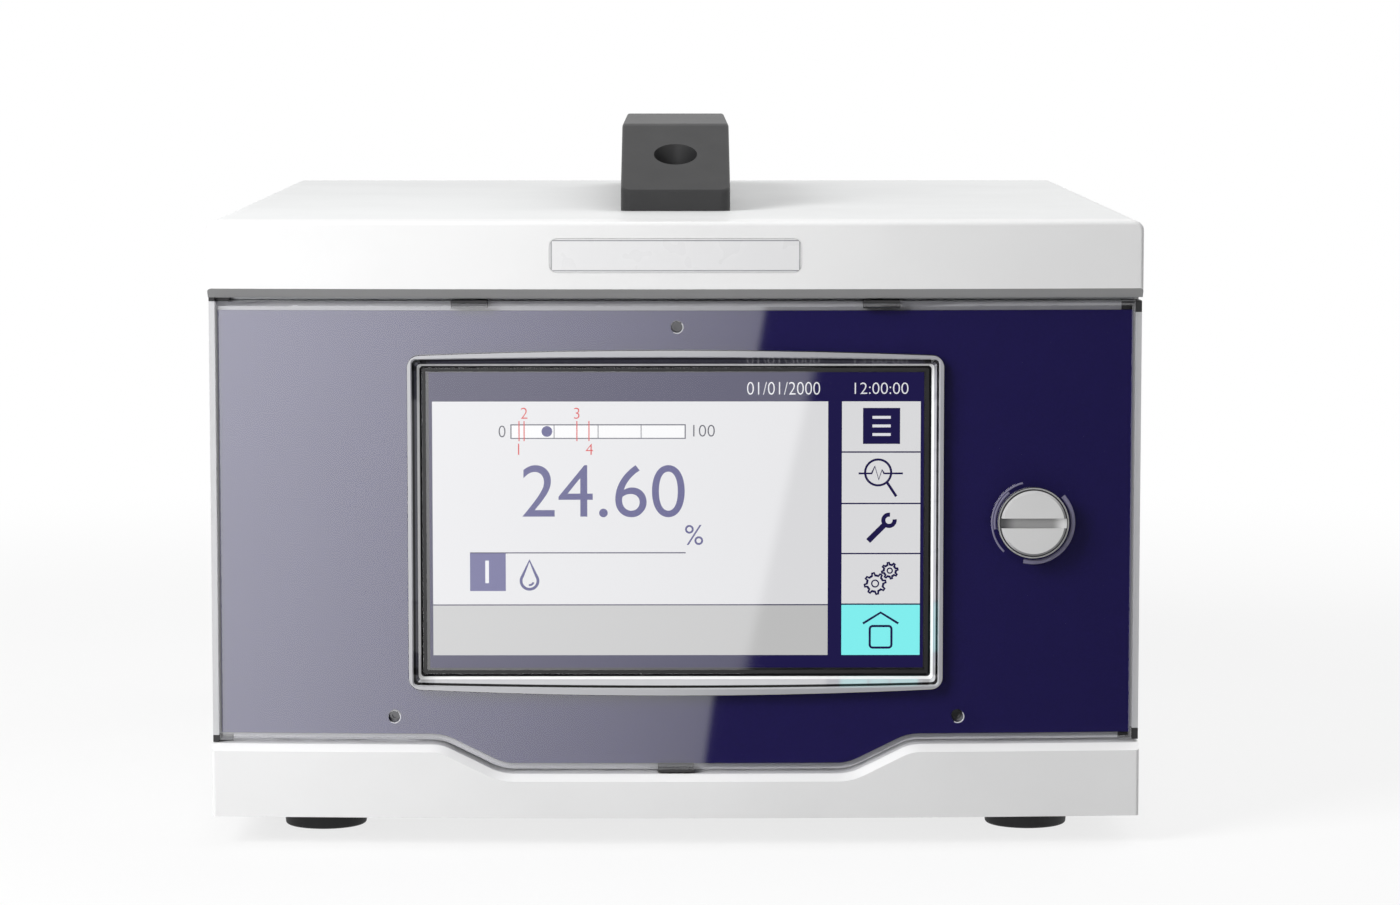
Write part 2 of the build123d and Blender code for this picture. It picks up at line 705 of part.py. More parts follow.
def inner_panel():
    """The coloured panel behind the clear cover."""
    front = DOOR_SETBACK + COVER_SKIN + SKIN_GAP
    panel = upright(panel_outline(0), 0, FASCIA_DEPTH) & bowed_space(front, front + PANEL_THICKNESS)
    panel -= upright(window_outline(SKIN_GAP), 0, FASCIA_DEPTH)
    panel -= rod(LATCH_X, LATCH_Z, BARREL_HOLE_RADIUS, 0, FASCIA_DEPTH)
    panel -= fixing_holes(FIXING_HOLE_RADIUS, 0, FASCIA_DEPTH)
    return panel


def door_blank(low, high):
    """The door frame's section run between two heights, with the corners rounded about the hinge."""
    skin = bowed_block(-HALF_WIDTH, HALF_WIDTH, low, high, FRAME_SKIN_FRONT, DOOR_BACK)
    strips = bowed_block(-HALF_WIDTH, HALF_WIDTH, low, high, STRIP_SETBACK, DOOR_BACK)
    strip_inner = COVER_HALF + SKIN_GAP
    strips -= block(-strip_inner, strip_inner, 0, DOOR_BACK, low, high)
    blank = skin + strips
    corners = blank.edges().filter_by(Axis.Z).group_by(Axis.Y)[-1]
    return fillet(corners, HINGE_KNUCKLE)


def door_corner(side, low, high, width, gap):
    """A piece of the door's end, at the left (-1) or right (+1), between two heights."""
    inner = HALF_WIDTH - width - gap
    limits = sorted((side * inner, side * HALF_WIDTH))
    return door_blank(low - gap, high + gap) & block(*limits, 0, DOOR_BACK, low - gap, high + gap)


def bush_places():
    """Flange and barrel limits of the upper and the lower hinge bush."""
    lower_proud = DOOR_LOW_END - DOOR_GAP_BELOW + BUSH_RUNNING_GAP
    upper_proud = DOOR_TOP + DOOR_GAP_ABOVE - BUSH_RUNNING_GAP
    barrel = PIN_IN_DOOR + BUSH_BLIND_END
    return (
        (DOOR_TOP, upper_proud, DOOR_TOP - barrel, DOOR_TOP),
        (lower_proud, DOOR_LOW_END + BUSH_SUNK, DOOR_LOW_END + BUSH_SUNK, DOOR_LOW_END + barrel),
    )


def hinge_bushes():
    bushes = []
    for flange_low, flange_high, barrel_low, barrel_high in bush_places():
        bush = door_corner(-1, flange_low, flange_high, BUSH_FLANGE_WIDTH, 0)
        bush += post(HINGE_X, HINGE_Y, BUSH_RADIUS, barrel_low, barrel_high)
        bushes.append(bush - hinge_pins(FIT))
    return bushes


def buffer_places():
    """Limits of the two buffers in the door's right corners."""
    return ((DOOR_LOW_END, DOOR_LOW_END + BUFFER_HEIGHT), (DOOR_TOP - BUFFER_HEIGHT, DOOR_TOP))


def door_buffers():
    return [door_corner(1, low, high, BUFFER_WIDTH, 0) for low, high in buffer_places()]


def hinge_pins(growth):
    """The two pins: one up into the upper fascia, one down into the lower fascia."""
    radius = PIN_RADIUS + growth
    upper_ledge = DOOR_TOP + DOOR_GAP_ABOVE
    lower_ledge = DOOR_LOW_END - DOOR_GAP_BELOW
    return [
        post(HINGE_X, HINGE_Y, radius, DOOR_TOP - PIN_IN_DOOR, upper_ledge + PIN_IN_FASCIA),
        post(HINGE_X, HINGE_Y, radius, lower_ledge - PIN_IN_FASCIA, DOOR_LOW_END + PIN_IN_DOOR),
    ]


def pocket_columns():
    """Limits in X of the moulding pockets on one side of the window."""
    width = (POCKET_OUTER - POCKET_INNER - POCKET_RIB) / 2
    return (
        (POCKET_INNER, POCKET_INNER + width),
        (POCKET_OUTER - width, POCKET_OUTER),
    )


def pocket_rows():
    """Limits in Z of the three rows of pockets."""
    low = DOOR_LOW_END + POCKET_MARGIN
    pitch = (DOOR_TOP - POCKET_MARGIN - low + POCKET_RIB) / 3
    return [(low + i * pitch, low + (i + 1) * pitch - POCKET_RIB) for i in range(3)]


def door_pockets():
    """Pockets in the door frame's back; the row at the latch is left solid."""
    pockets = []
    for left, right in pocket_columns():
        for row, (low, high) in enumerate(pocket_rows()):
            pockets.append(block(-right, -left, DOOR_BACK - POCKET_DEPTH, DOOR_BACK, low, high))
            if row != 1:
                pockets.append(block(left, right, DOOR_BACK - POCKET_DEPTH, DOOR_BACK, low, high))
    return pockets


def glass_room(front, back, growth):
    """The room that the touch glass takes, grown on all sides."""
    half_width = GLASS_WIDTH / 2 + growth
    half_height = GLASS_HEIGHT / 2 + growth
    return block(-half_width, half_width, front, back, WINDOW_Z - half_height, WINDOW_Z + half_height)


def bracket_screw_places():
    x = MODULE_WIDTH / 2 + DISPLAY_GAP + BRACKET_SHEET + BRACKET_EAR / 2
    z = BRACKET_HEIGHT / 2 - BRACKET_SCREW_INSET
    return [(i * x, WINDOW_Z + k * z) for i in (-1, 1) for k in (-1, 1)]


def door_frame():
    """The door's moulded frame: end strips, a bowed skin, bosses, and pockets behind."""
    outline = upright(front_outline(HALF_WIDTH, DOOR_TOP, 0), 0, DOOR_BACK)
    frame = outline & door_blank(0, TOP_Z)
    frame -= upright(window_outline(SKIN_GAP), 0, DOOR_BACK)
    frame -= glass_room(GLASS_FRONT, DOOR_BACK, SEAT_GAP)
    frame -= rod(LATCH_X, LATCH_Z, BARREL_HOLE_RADIUS, 0, DOOR_BACK)
    for x, z in FIXING_PLACES:
        frame -= rod(x, z, FIXING_HOLE_RADIUS, 0, fixing_seat(x))
        frame -= rod(x, z, FIXING_SHANK_RADIUS + FIT, 0, fixing_seat(x) + FIXING_LENGTH)
    frame -= door_pockets()
    screw_front = DOOR_BACK - BRACKET_SCREW_GRIP
    radius = SMALL_SCREW_RADIUS + FIT
    frame -= [rod(x, z, radius, screw_front, DOOR_BACK) for x, z in bracket_screw_places()]
    frame -= door_clips(SKIN_GAP)
    for low, high in buffer_places():
        frame -= door_corner(1, low, high, BUFFER_WIDTH, FIT)
    for flange_low, flange_high, barrel_low, barrel_high in bush_places():
        frame -= door_corner(-1, flange_low, flange_high, BUSH_FLANGE_WIDTH, FIT)
        frame -= post(HINGE_X, HINGE_Y, BUSH_RADIUS + FIT, barrel_low - FIT, barrel_high + FIT)
    return frame


def window_bezel():
    """The window's frame: a barrel outline outside, and four plane walls that lean in."""
    blank = upright(window_outline(0), 0, GLASS_FRONT) & bowed_space(DOOR_SETBACK, FASCIA_DEPTH)
    spread = GLASS_FRONT * math.tan(math.radians(WALL_ANGLE))
    mouth = RectangleRounded(FLOOR_WIDTH + 2 * spread, FLOOR_HEIGHT + 2 * spread, FUNNEL_CORNER)
    foot = RectangleRounded(FLOOR_WIDTH, FLOOR_HEIGHT, FLOOR_CORNER)
    upward = Plane((0, 0, WINDOW_Z), x_dir=(1, 0, 0), z_dir=(0, -1, 0))
    rearward = Plane((0, GLASS_FRONT, WINDOW_Z), x_dir=(1, 0, 0), z_dir=(0, -1, 0))
    return blank - loft([upward * mouth, rearward * foot], ruled=True)


def touch_glass():
    glass = glass_room(GLASS_FRONT, GLASS_FRONT + GLASS_THICKNESS, 0)
    return fillet(glass.edges().filter_by(Axis.Y), GLASS_CORNER)


def display_module():
    """The display's metal can, with the lit area let into its front."""
    front = GLASS_FRONT + GLASS_THICKNESS + DISPLAY_GAP
    half_width = MODULE_WIDTH / 2
    half_height = MODULE_HEIGHT / 2
    back = front + MODULE_THICKNESS
    module = block(-half_width, half_width, front, back, WINDOW_Z - half_height, WINDOW_Z + half_height)
    half_active = ACTIVE_WIDTH / 2
    half_lit = ACTIVE_HEIGHT / 2
    low = WINDOW_Z - half_lit
    high = WINDOW_Z + half_lit
    return module - block(-half_active, half_active, front, front + ACTIVE_RECESS, low, high)


def display_bracket():
    """A hat-shaped sheet bracket that holds the display against the glass."""
    half = MODULE_WIDTH / 2 + DISPLAY_GAP
    outer = half + BRACKET_SHEET
    low = WINDOW_Z - BRACKET_HEIGHT / 2
    high = WINDOW_Z + BRACKET_HEIGHT / 2
    bracket = block(-outer, outer, DOOR_BACK, BRACKET_BACK, low, high)
    ear = outer + BRACKET_EAR
    bracket += block(-ear, ear, DOOR_BACK, DOOR_BACK + BRACKET_SHEET, low, high)
    bracket -= block(-half, half, DOOR_BACK, BRACKET_BACK - BRACKET_SHEET, low, high)
    window = RectangleRounded(BRACKET_WINDOW_WIDTH, BRACKET_WINDOW_HEIGHT, BRACKET_WINDOW_CORNER)
    bracket -= upright(Pos(0, WINDOW_Z) * window, DOOR_BACK, BRACKET_BACK)
    radius = SMALL_SCREW_RADIUS + FIT
    return bracket - [rod(x, z, radius, DOOR_BACK, BRACKET_BACK) for x, z in bracket_screw_places()]


def display_board_places():
    x = DISPLAY_BOARD_WIDTH / 2 - BOARD_SCREW_INSET
    z = DISPLAY_BOARD_HEIGHT / 2 - BOARD_SCREW_INSET
    return [(i * x, WINDOW_Z + k * z) for i in (-1, 1) for k in (-1, 1)]


def display_standoffs():
    standoffs = []
    for x, z in display_board_places():
        sketch = Pos(x, z) * hexagon(STANDOFF_ACROSS)
        body = upright(sketch, BRACKET_BACK, BRACKET_BACK + DISPLAY_STANDOFF)
        hole = rod(x, z, SMALL_SCREW_RADIUS + FIT, BRACKET_BACK, BRACKET_BACK + DISPLAY_STANDOFF)
        standoffs.append(body - hole)
    return standoffs


def display_board():
    """The board behind the display, with its chips and plug headers."""
    front = BRACKET_BACK + DISPLAY_STANDOFF
    back = front + BOARD_THICKNESS
    half = DISPLAY_BOARD_WIDTH / 2
    low = WINDOW_Z - DISPLAY_BOARD_HEIGHT / 2
    high = WINDOW_Z + DISPLAY_BOARD_HEIGHT / 2
    board = block(-half, half, front, back, low, high)
    board -= [rod(x, z, SMALL_SCREW_RADIUS + FIT, front, back) for x, z in display_board_places()]
    for x, z, width, height, thickness in DISPLAY_CHIPS:
        board += block(
            x - width / 2,
            x + width / 2,
            back,
            back + thickness,
            WINDOW_Z + z - height / 2,
            WINDOW_Z + z + height / 2,
        )
    return board


def display_screws():
    """Screws of the display's bracket and board."""
    board_seat = BRACKET_BACK + DISPLAY_STANDOFF + BOARD_THICKNESS
    bracket_seat = DOOR_BACK + BRACKET_SHEET
    bracket_length = BRACKET_SHEET + BRACKET_SCREW_GRIP - FIT
    board_length = BOARD_THICKNESS + DISPLAY_STANDOFF / 2
    screws = [screw_forward(x, z, bracket_seat, bracket_length) for x, z in bracket_screw_places()]
    return screws + [screw_forward(x, z, board_seat, board_length) for x, z in display_board_places()]


def latch_barrel():
    """The fixed barrel of the door latch, with a thin rim round the turning head."""
    flange_front = COLLAR_FRONT - BARREL_FLANGE
    barrel = rod(LATCH_X, LATCH_Z, BARREL_FLANGE_RADIUS, flange_front, COLLAR_FRONT)
    barrel += rod(LATCH_X, LATCH_Z, BARREL_RADIUS, COLLAR_FRONT, BARREL_BACK)
    seat = flange_front + BARREL_RECESS
    barrel -= rod(LATCH_X, LATCH_Z, LATCH_HEAD_RADIUS + LATCH_HEAD_GAP, flange_front, seat)
    shaft_room = LATCH_SHAFT_RADIUS + LATCH_RUNNING_FIT
    return barrel - rod(LATCH_X, LATCH_Z, shaft_room, flange_front, BARREL_BACK)


def latch_barrel_nut():
    sketch = Pos(LATCH_X, LATCH_Z) * hexagon(BARREL_NUT_ACROSS)
    outer = upright(sketch, DOOR_BACK, DOOR_BACK + BARREL_NUT_HEIGHT)
    return outer - rod(LATCH_X, LATCH_Z, BARREL_RADIUS + FIT, DOOR_BACK, DOOR_BACK + BARREL_NUT_HEIGHT)


def latch_plug():
    """The turning plug: a coin-slotted head, a shaft, a square for the cam, and a stud for its nut."""
    head_back = COLLAR_FRONT - BARREL_FLANGE + BARREL_RECESS - LATCH_HEAD_GAP
    head_front = COLLAR_FRONT - BARREL_FLANGE - LATCH_HEAD_PROUD
    head = rod(LATCH_X, LATCH_Z, LATCH_HEAD_RADIUS, head_front, head_back)
    head = chamfer(head.edges().group_by(Axis.Y)[0], LATCH_HEAD_BEVEL)
    head -= block(
        LATCH_X - LATCH_HEAD_RADIUS,
        LATCH_X + LATCH_HEAD_RADIUS,
        head_front,
        head_front + COIN_SLOT_DEPTH,
        LATCH_Z - COIN_SLOT_WIDTH / 2,
        LATCH_Z + COIN_SLOT_WIDTH / 2,
    )
    plug = head + rod(LATCH_X, LATCH_Z, LATCH_SHAFT_RADIUS, head_back, CAM_FRONT)
    plug += upright(Pos(LATCH_X, LATCH_Z) * Rectangle(CAM_SQUARE, CAM_SQUARE), CAM_FRONT, CAM_BACK)
    stud_back = CAM_BACK + CAM_NUT_HEIGHT + THREAD_SHOWN
    return plug + rod(LATCH_X, LATCH_Z, CAM_STUD_RADIUS, CAM_BACK, stud_back)


def latch_cam():
    """The cam, pointing up while the door is free to open."""
    tip = LATCH_Z + CAM_REACH - CAM_HALF_WIDTH
    hub = Pos(LATCH_X, LATCH_Z) * Circle(CAM_HALF_WIDTH)
    nose = Pos(LATCH_X, tip) * Circle(CAM_HALF_WIDTH)
    arm = Pos(LATCH_X, (LATCH_Z + tip) / 2) * Rectangle(2 * CAM_HALF_WIDTH, tip - LATCH_Z)
    hole = Pos(LATCH_X, LATCH_Z) * Rectangle(CAM_SQUARE + 2 * FIT, CAM_SQUARE + 2 * FIT)
    return upright(hub + arm + nose - hole, CAM_FRONT, CAM_BACK)


def latch_cam_nut():
    outer = upright(Pos(LATCH_X, LATCH_Z) * hexagon(CAM_NUT_ACROSS), CAM_BACK, CAM_BACK + CAM_NUT_HEIGHT)
    return outer - rod(LATCH_X, LATCH_Z, CAM_STUD_RADIUS + FIT, CAM_BACK, CAM_BACK + CAM_NUT_HEIGHT)


def fascia_screw_places():
    return [(i * x, z) for z in (LOWER_BOSS_Z, UPPER_BOSS_Z) for x in FASCIA_BOSS_X for i in (-1, 1)]


def fascia_bosses(height):
    """The screw bosses of one fascia, all at one height."""
    places = [(x, z) for x, z in fascia_screw_places() if z == height]
    return [rod(x, z, FASCIA_BOSS_RADIUS, FASCIA_WALL + bow(x), FASCIA_DEPTH) for x, z in places]


def lip_chamfer(part, z_limits, fall):
    """Chamfer the lip of a fascia: further back than it falls."""
    low, high = z_limits
    front = part.faces().sort_by(Axis.Y)[0]
    edges = front.edges().filter_by(lambda edge: low < edge.center().Z < high)
    edges = edges.filter_by(lambda edge: edge.length > 2 * LIP_BACK)
    return chamfer(edges, fall, LIP_BACK, reference=front)


def upper_fascia():
    """The upper fascia: a bowed shell, open behind, with a lipped lower edge."""
    ledge = DOOR_TOP + DOOR_GAP_ABOVE
    shell = bowed_block(-HALF_WIDTH, HALF_WIDTH, ledge, TOP_Z, 0, FASCIA_DEPTH)
    shell = lip_chamfer(shell, (ledge - PICK, ledge + PICK), LIP_RISE)
    long_edges = shell.edges().filter_by(Axis.Y).group_by(Axis.Z)[-1]
    shell = fillet(long_edges, CORNER_RADIUS)
    front = shell.faces().sort_by(Axis.Y)[0]
    lip = ledge + LIP_RISE + PICK
    shell = fillet(front.edges().filter_by(lambda edge: edge.center().Z > lip), FASCIA_EDGE_RADIUS)
    side = HALF_WIDTH - FASCIA_WALL
    shell -= bowed_block(-side, side, ledge + FASCIA_WALL, TOP_Z - FASCIA_WALL, FASCIA_WALL, FASCIA_DEPTH)
    boss_side = HALF_WIDTH - HINGE_BOSS_WIDTH
    for left, right in ((-side, -boss_side), (boss_side, side)):
        boss_low = ledge + FASCIA_WALL
        shell += bowed_block(left, right, boss_low, ledge + HINGE_BOSS_HEIGHT, FASCIA_WALL, FASCIA_DEPTH)
    shell += fascia_bosses(UPPER_BOSS_Z)
    shell -= fascia_screw_holes()
    shell -= hinge_pins(FIT)
    return shell - upright(Pos(0, BADGE_Z) * badge_outline(SKIN_GAP), 0, badge_back())


def lower_fascia():
    """The lower fascia: a bowed shell, open behind, whose upper edge follows the door's S-curves."""
    outline = upright(lower_outline(HALF_WIDTH, BASE_Z, DOOR_GAP_BELOW), 0, FASCIA_DEPTH)
    shell = outline & bowed_block(-HALF_WIDTH, HALF_WIDTH, 0, TOP_Z, 0, FASCIA_DEPTH)
    ledge = DOOR_LOW_END - DOOR_GAP_BELOW
    shell = lip_chamfer(shell, (DOOR_LOW_MIDDLE - DOOR_GAP_BELOW - PICK, ledge + PICK), LOWER_LIP_FALL)
    front = shell.faces().sort_by(Axis.Y)[0]
    ends = front.edges().filter_by(Axis.Z)
    shell = fillet(ends, FASCIA_EDGE_RADIUS)
    side = HALF_WIDTH - FASCIA_WALL
    inner = lower_outline(side, BASE_Z + FASCIA_WALL, DOOR_GAP_BELOW + FASCIA_WALL)
    room = upright(inner, 0, FASCIA_DEPTH)
    shell -= room & bowed_space(FASCIA_WALL, FASCIA_DEPTH)
    boss_side = HALF_WIDTH - HINGE_BOSS_WIDTH
    for left, right in ((-side, -boss_side), (boss_side, side)):
        boss_high = ledge - FASCIA_WALL
        shell += bowed_block(left, right, ledge - HINGE_BOSS_HEIGHT, boss_high, FASCIA_WALL, FASCIA_DEPTH)
    shell += fascia_bosses(LOWER_BOSS_Z)
    return shell - fascia_screw_holes() - hinge_pins(FIT)


def fascia_screw_holes():
    front = FASCIA_DEPTH - FASCIA_SCREW_GRIP - FIT
    return [rod(x, z, SMALL_SCREW_RADIUS + FIT, front, FASCIA_DEPTH) for x, z in fascia_screw_places()]


def badge_outline(growth):
    return RectangleRounded(BADGE_WIDTH + 2 * growth, BADGE_HEIGHT + 2 * growth, BADGE_CORNER + growth)


def badge_back():
    return BADGE_SETBACK + BADGE_THICKNESS + bow(BADGE_WIDTH / 2)


def badge_plate():
    """The bare badge plate, bowed in front and flat behind."""
    blank = bowed_block(-BADGE_WIDTH, BADGE_WIDTH, 0, TOP_Z, BADGE_SETBACK, badge_back())
    return blank & upright(Pos(0, BADGE_Z) * badge_outline(0), 0, badge_back())


def frame_foot_places():
    """Places of the two screws that hold the front frame to the tray."""
    y = FRAME_BACK + FRAME_FLANGE / 2
    return [(i * FRAME_FOOT_X, y) for i in (-1, 1)]


def round_under_cover(part):
    """Round the two upper corners that lie in the cover's bends."""
    along = part.edges().filter_by(Axis.Y)
    corners = along.filter_by(lambda edge: abs(edge.center().X) > INNER_HALF - FIT)
    return fillet(corners.group_by(Axis.Z)[-1], CORNER_RADIUS - SHEET)


def front_frame():
    """The fixed frame behind the door: a plate with an opening, side flanges and a foot flange."""
    low = BASE_Z + SHEET
    high = TOP_Z - SHEET - SEAT_GAP
    middle = (OPENING_LOW + OPENING_HIGH) / 2
    frame = block(-INNER_HALF, INNER_HALF, FASCIA_DEPTH, FRAME_BACK, low, high)
    opening = RectangleRounded(2 * OPENING_SIDE, OPENING_HIGH - OPENING_LOW, OPENING_CORNER)
    frame -= upright(Pos(0, middle) * opening, FASCIA_DEPTH, FRAME_BACK)
    flange_back = FRAME_BACK + FRAME_FLANGE
    frame += block(-INNER_HALF, INNER_HALF, FRAME_BACK, flange_back, low, low + FRAME_FLANGE_SHEET)
    for side in (-1, 1):
        limits = sorted((side * INNER_HALF, side * (INNER_HALF - FRAME_FLANGE_SHEET)))
        frame += block(*limits, FRAME_BACK, flange_back, low, high)
    frame = round_under_cover(frame)
    radius = SMALL_SCREW_RADIUS + FIT
    frame -= [rod(x, z, radius, FASCIA_DEPTH, FRAME_BACK) for x, z in fascia_screw_places()]
    foot_top = low + FRAME_FLANGE_SHEET
    frame -= [post(x, y, SMALL_SCREW_RADIUS + FIT, low, foot_top) for x, y in frame_foot_places()]
    return frame - cover_screw_holes(FIT)


def door_gasket():
    """The soft seal round the opening, stuck to the front frame."""
    middle = (OPENING_LOW + OPENING_HIGH) / 2
    height = OPENING_HIGH - OPENING_LOW
    inner = RectangleRounded(
        2 * (OPENING_SIDE + GASKET_MARGIN), height + 2 * GASKET_MARGIN, OPENING_CORNER + GASKET_MARGIN
    )
    grown = GASKET_MARGIN + GASKET_WIDTH
    outer = RectangleRounded(2 * (OPENING_SIDE + grown), height + 2 * grown, OPENING_CORNER + grown)
    return upright(Pos(0, middle) * (outer - inner), DOOR_BACK + SEAT_GAP, FASCIA_DEPTH)


def cover_screw_places():
    low = [(y, LOW_SCREW_Z) for y in LOW_SCREW_Y]
    high = [(y, HIGH_SCREW_Z) for y in HIGH_SCREW_Y]
    return low + high


def cover_screw_holes(growth):
    """Straight holes for the cover's screws, through both sides."""
    shank = HALF_WIDTH - COVER_SCREW_LENGTH
    holes = []
    for y, z in cover_screw_places():
        holes.append(cross_rod(y, z, COVER_SCREW_RADIUS + growth, -HALF_WIDTH, -shank + growth))
        holes.append(cross_rod(y, z, COVER_SCREW_RADIUS + growth, shank - growth, HALF_WIDTH))
    return holes


def cover_screw(side, y, z, growth):
    """One countersunk screw, its head flush with the cover's side."""
    sink = COVER_SCREW_HEAD - COVER_SCREW_RADIUS
    head = Cone(COVER_SCREW_RADIUS + growth, COVER_SCREW_HEAD + growth, sink)
    head = Pos(side * (HALF_WIDTH - sink / 2), y, z) * Rot(0, side * 90, 0) * head
    limits = sorted((side * (HALF_WIDTH - COVER_SCREW_LENGTH), side * (HALF_WIDTH - sink)))
    return head + cross_rod(y, z, COVER_SCREW_RADIUS + growth, *limits)


def cover_screws(growth):
    return [cover_screw(side, y, z, growth) for side in (-1, 1) for y, z in cover_screw_places()]


def handle_screw_places():
    return (HANDLE_FRONT + HANDLE_HOLE_INSET, HANDLE_FRONT + HANDLE_LENGTH - HANDLE_HOLE_INSET)


def top_cover():
    """The sheet cover: a top and two sides bent from one piece."""
    front = FASCIA_DEPTH + SEAT_GAP
    outer = Pos(0, (BASE_Z + TOP_Z) / 2) * Rectangle(WIDTH, HOUSING_HEIGHT)
    outer = fillet(outer.vertices().group_by(Axis.Y)[-1], CORNER_RADIUS)
    inner = Pos(0, (BASE_Z + TOP_Z) / 2 - SHEET) * Rectangle(WIDTH - 2 * SHEET, HOUSING_HEIGHT)
    inner = fillet(inner.vertices().group_by(Axis.Y)[-1], CORNER_RADIUS - SHEET)
    cover = upright(outer - inner, front, HOUSING_DEPTH)
    for y in handle_screw_places():
        cover -= post(0, y, HANDLE_SCREW_RADIUS + FIT, TOP_Z - SHEET, TOP_Z)
    return cover - cover_screws(FIT)


def foot_places():
    rear = HOUSING_DEPTH - FOOT_REAR_INSET
    return {
        "front_left": (-FOOT_X, FOOT_FRONT_Y),
        "front_right": (FOOT_X, FOOT_FRONT_Y),
        "rear_left": (-FOOT_X, rear),
        "rear_right": (FOOT_X, rear),
    }


def panel_screw_holes():
    """Holes through the rear panel and the tray's rear flange."""
    radius = SMALL_SCREW_RADIUS + FIT
    return [rod(x, PANEL_SCREW_Z, radius, PANEL_FRONT - SHEET, PANEL_BACK) for x in PANEL_SCREW_X]


def base_tray():
    """The sheet tray: a floor, side flanges, a low rear flange, bosses for the feet, and air slots."""
    front = FASCIA_DEPTH + SEAT_GAP
    tray = block(-INNER_HALF, INNER_HALF, front, PANEL_BACK, BASE_Z, TRAY_TOP)
    flange_front = FRAME_BACK + FRAME_FLANGE + SEAT_GAP
    flange_back = PANEL_FRONT - REAR_FLANGE - SEAT_GAP
    for side in (-1, 1):
        limits = sorted((side * INNER_HALF, side * (INNER_HALF - SHEET)))
        tray += block(*limits, flange_front, flange_back, TRAY_TOP, BASE_Z + TRAY_FLANGE)
    rear_half = INNER_HALF - SHEET - SEAT_GAP
    flange_top = BASE_Z + TRAY_REAR_FLANGE
    tray += block(-rear_half, rear_half, PANEL_FRONT - SHEET, PANEL_FRONT, TRAY_TOP, flange_top)
    for x, y in foot_places().values():
        tray += post(x, y, FOOT_BOSS_RADIUS, TRAY_TOP, TRAY_TOP + FOOT_BOSS_HEIGHT)
        tray -= post(x, y, FOOT_SCREW_RADIUS + FIT, BASE_Z, TRAY_TOP + FOOT_BOSS_HEIGHT)
    for row in range(AIR_SLOTS):
        y = AIR_SLOT_FRONT + row * AIR_SLOT_PITCH
        slot = SlotOverall(AIR_SLOT_LENGTH, AIR_SLOT_WIDTH)
        tray -= Pos(AIR_SLOT_X, y, BASE_Z) * extrude(slot, SHEET)
    tray -= [post(x, y, SMALL_SCREW_RADIUS + FIT, BASE_Z, TRAY_TOP) for x, y in frame_foot_places()]
    return tray - panel_screw_holes() - cover_screw_holes(FIT)


def rear_panel():
    """The sheet rear panel, with air slots and cut-outs for what passes through it."""
    low = TRAY_TOP
    high = TOP_Z - SHEET - SEAT_GAP
    panel = block(-INNER_HALF, INNER_HALF, PANEL_FRONT, PANEL_BACK, low, high)
    for side in (-1, 1):
        limits = sorted((side * INNER_HALF, side * (INNER_HALF - SHEET)))
        panel += block(*limits, PANEL_FRONT - REAR_FLANGE, PANEL_FRONT, low, high)
    panel = round_under_cover(panel)
    slot = SlotOverall(VENT_HEIGHT, VENT_WIDTH, rotation=90)
    for number in range(VENT_COUNT):
        x = (number - (VENT_COUNT - 1) / 2) * VENT_PITCH
        panel -= upright(Pos(x, VENT_Z) * slot, PANEL_FRONT, PANEL_BACK)
    entry = Rectangle(ENTRY_BODY_WIDTH + 2 * PANEL_CUT_GAP, ENTRY_BODY_HEIGHT + 2 * PANEL_CUT_GAP)
    panel -= upright(Pos(ENTRY_X, ENTRY_Z) * entry, PANEL_FRONT, PANEL_BACK)
    panel -= [rod(x, SOCKET_Z, SOCKET_THREAD_RADIUS + FIT, PANEL_FRONT, PANEL_BACK) for x in SOCKET_X]
    for x, width, height in edge_connectors():
        opening = Rectangle(width + 2 * PANEL_CUT_GAP, height + 2 * PANEL_CUT_GAP)
        panel -= upright(Pos(x, BOARD_TOP + height / 2) * opening, PANEL_FRONT, PANEL_BACK)
    panel -= panel_screw_holes()
    panel -= rod(EARTH_X, EARTH_Z, EARTH_ROOT_RADIUS + FIT, PANEL_FRONT, PANEL_BACK)
    return panel - cover_screw_holes(FIT)


def edge_connectors():
    """Middle, width and height of each connector that passes through the rear panel."""
    return (
        (NETWORK_X, NETWORK_WIDTH, NETWORK_HEIGHT),
        (SERVICE_X, SERVICE_WIDTH, SERVICE_HEIGHT),
        (SIGNAL_X, header_width(SIGNAL_WAYS), HEADER_HEIGHT),
        (RELAY_X, header_width(RELAY_WAYS), HEADER_HEIGHT),
    )


def foot(x, y):
    """A rubber foot: a short cone with a recess for its screw."""
    rubber = Pos(x, y, FOOT_HEIGHT / 2) * Cone(FOOT_RADIUS - FOOT_TAPER, FOOT_RADIUS, FOOT_HEIGHT)
    rubber = fillet(rubber.edges().group_by(Axis.Z)[0], FOOT_EDGE)
    rubber -= post(x, y, FOOT_RECESS_RADIUS, 0, FOOT_RECESS)
    return rubber - post(x, y, FOOT_SCREW_RADIUS + FIT, FOOT_RECESS, FOOT_HEIGHT)


def foot_screws():
    screws = []
    for x, y in foot_places().values():
        head = post(x, y, FOOT_HEAD_RADIUS, FOOT_RECESS - FOOT_HEAD_HEIGHT, FOOT_RECESS)
        tip = TRAY_TOP + FOOT_BOSS_HEIGHT - THREAD_SHOWN
        screws.append(head + post(x, y, FOOT_SCREW_RADIUS, FOOT_RECESS, tip))
    return screws


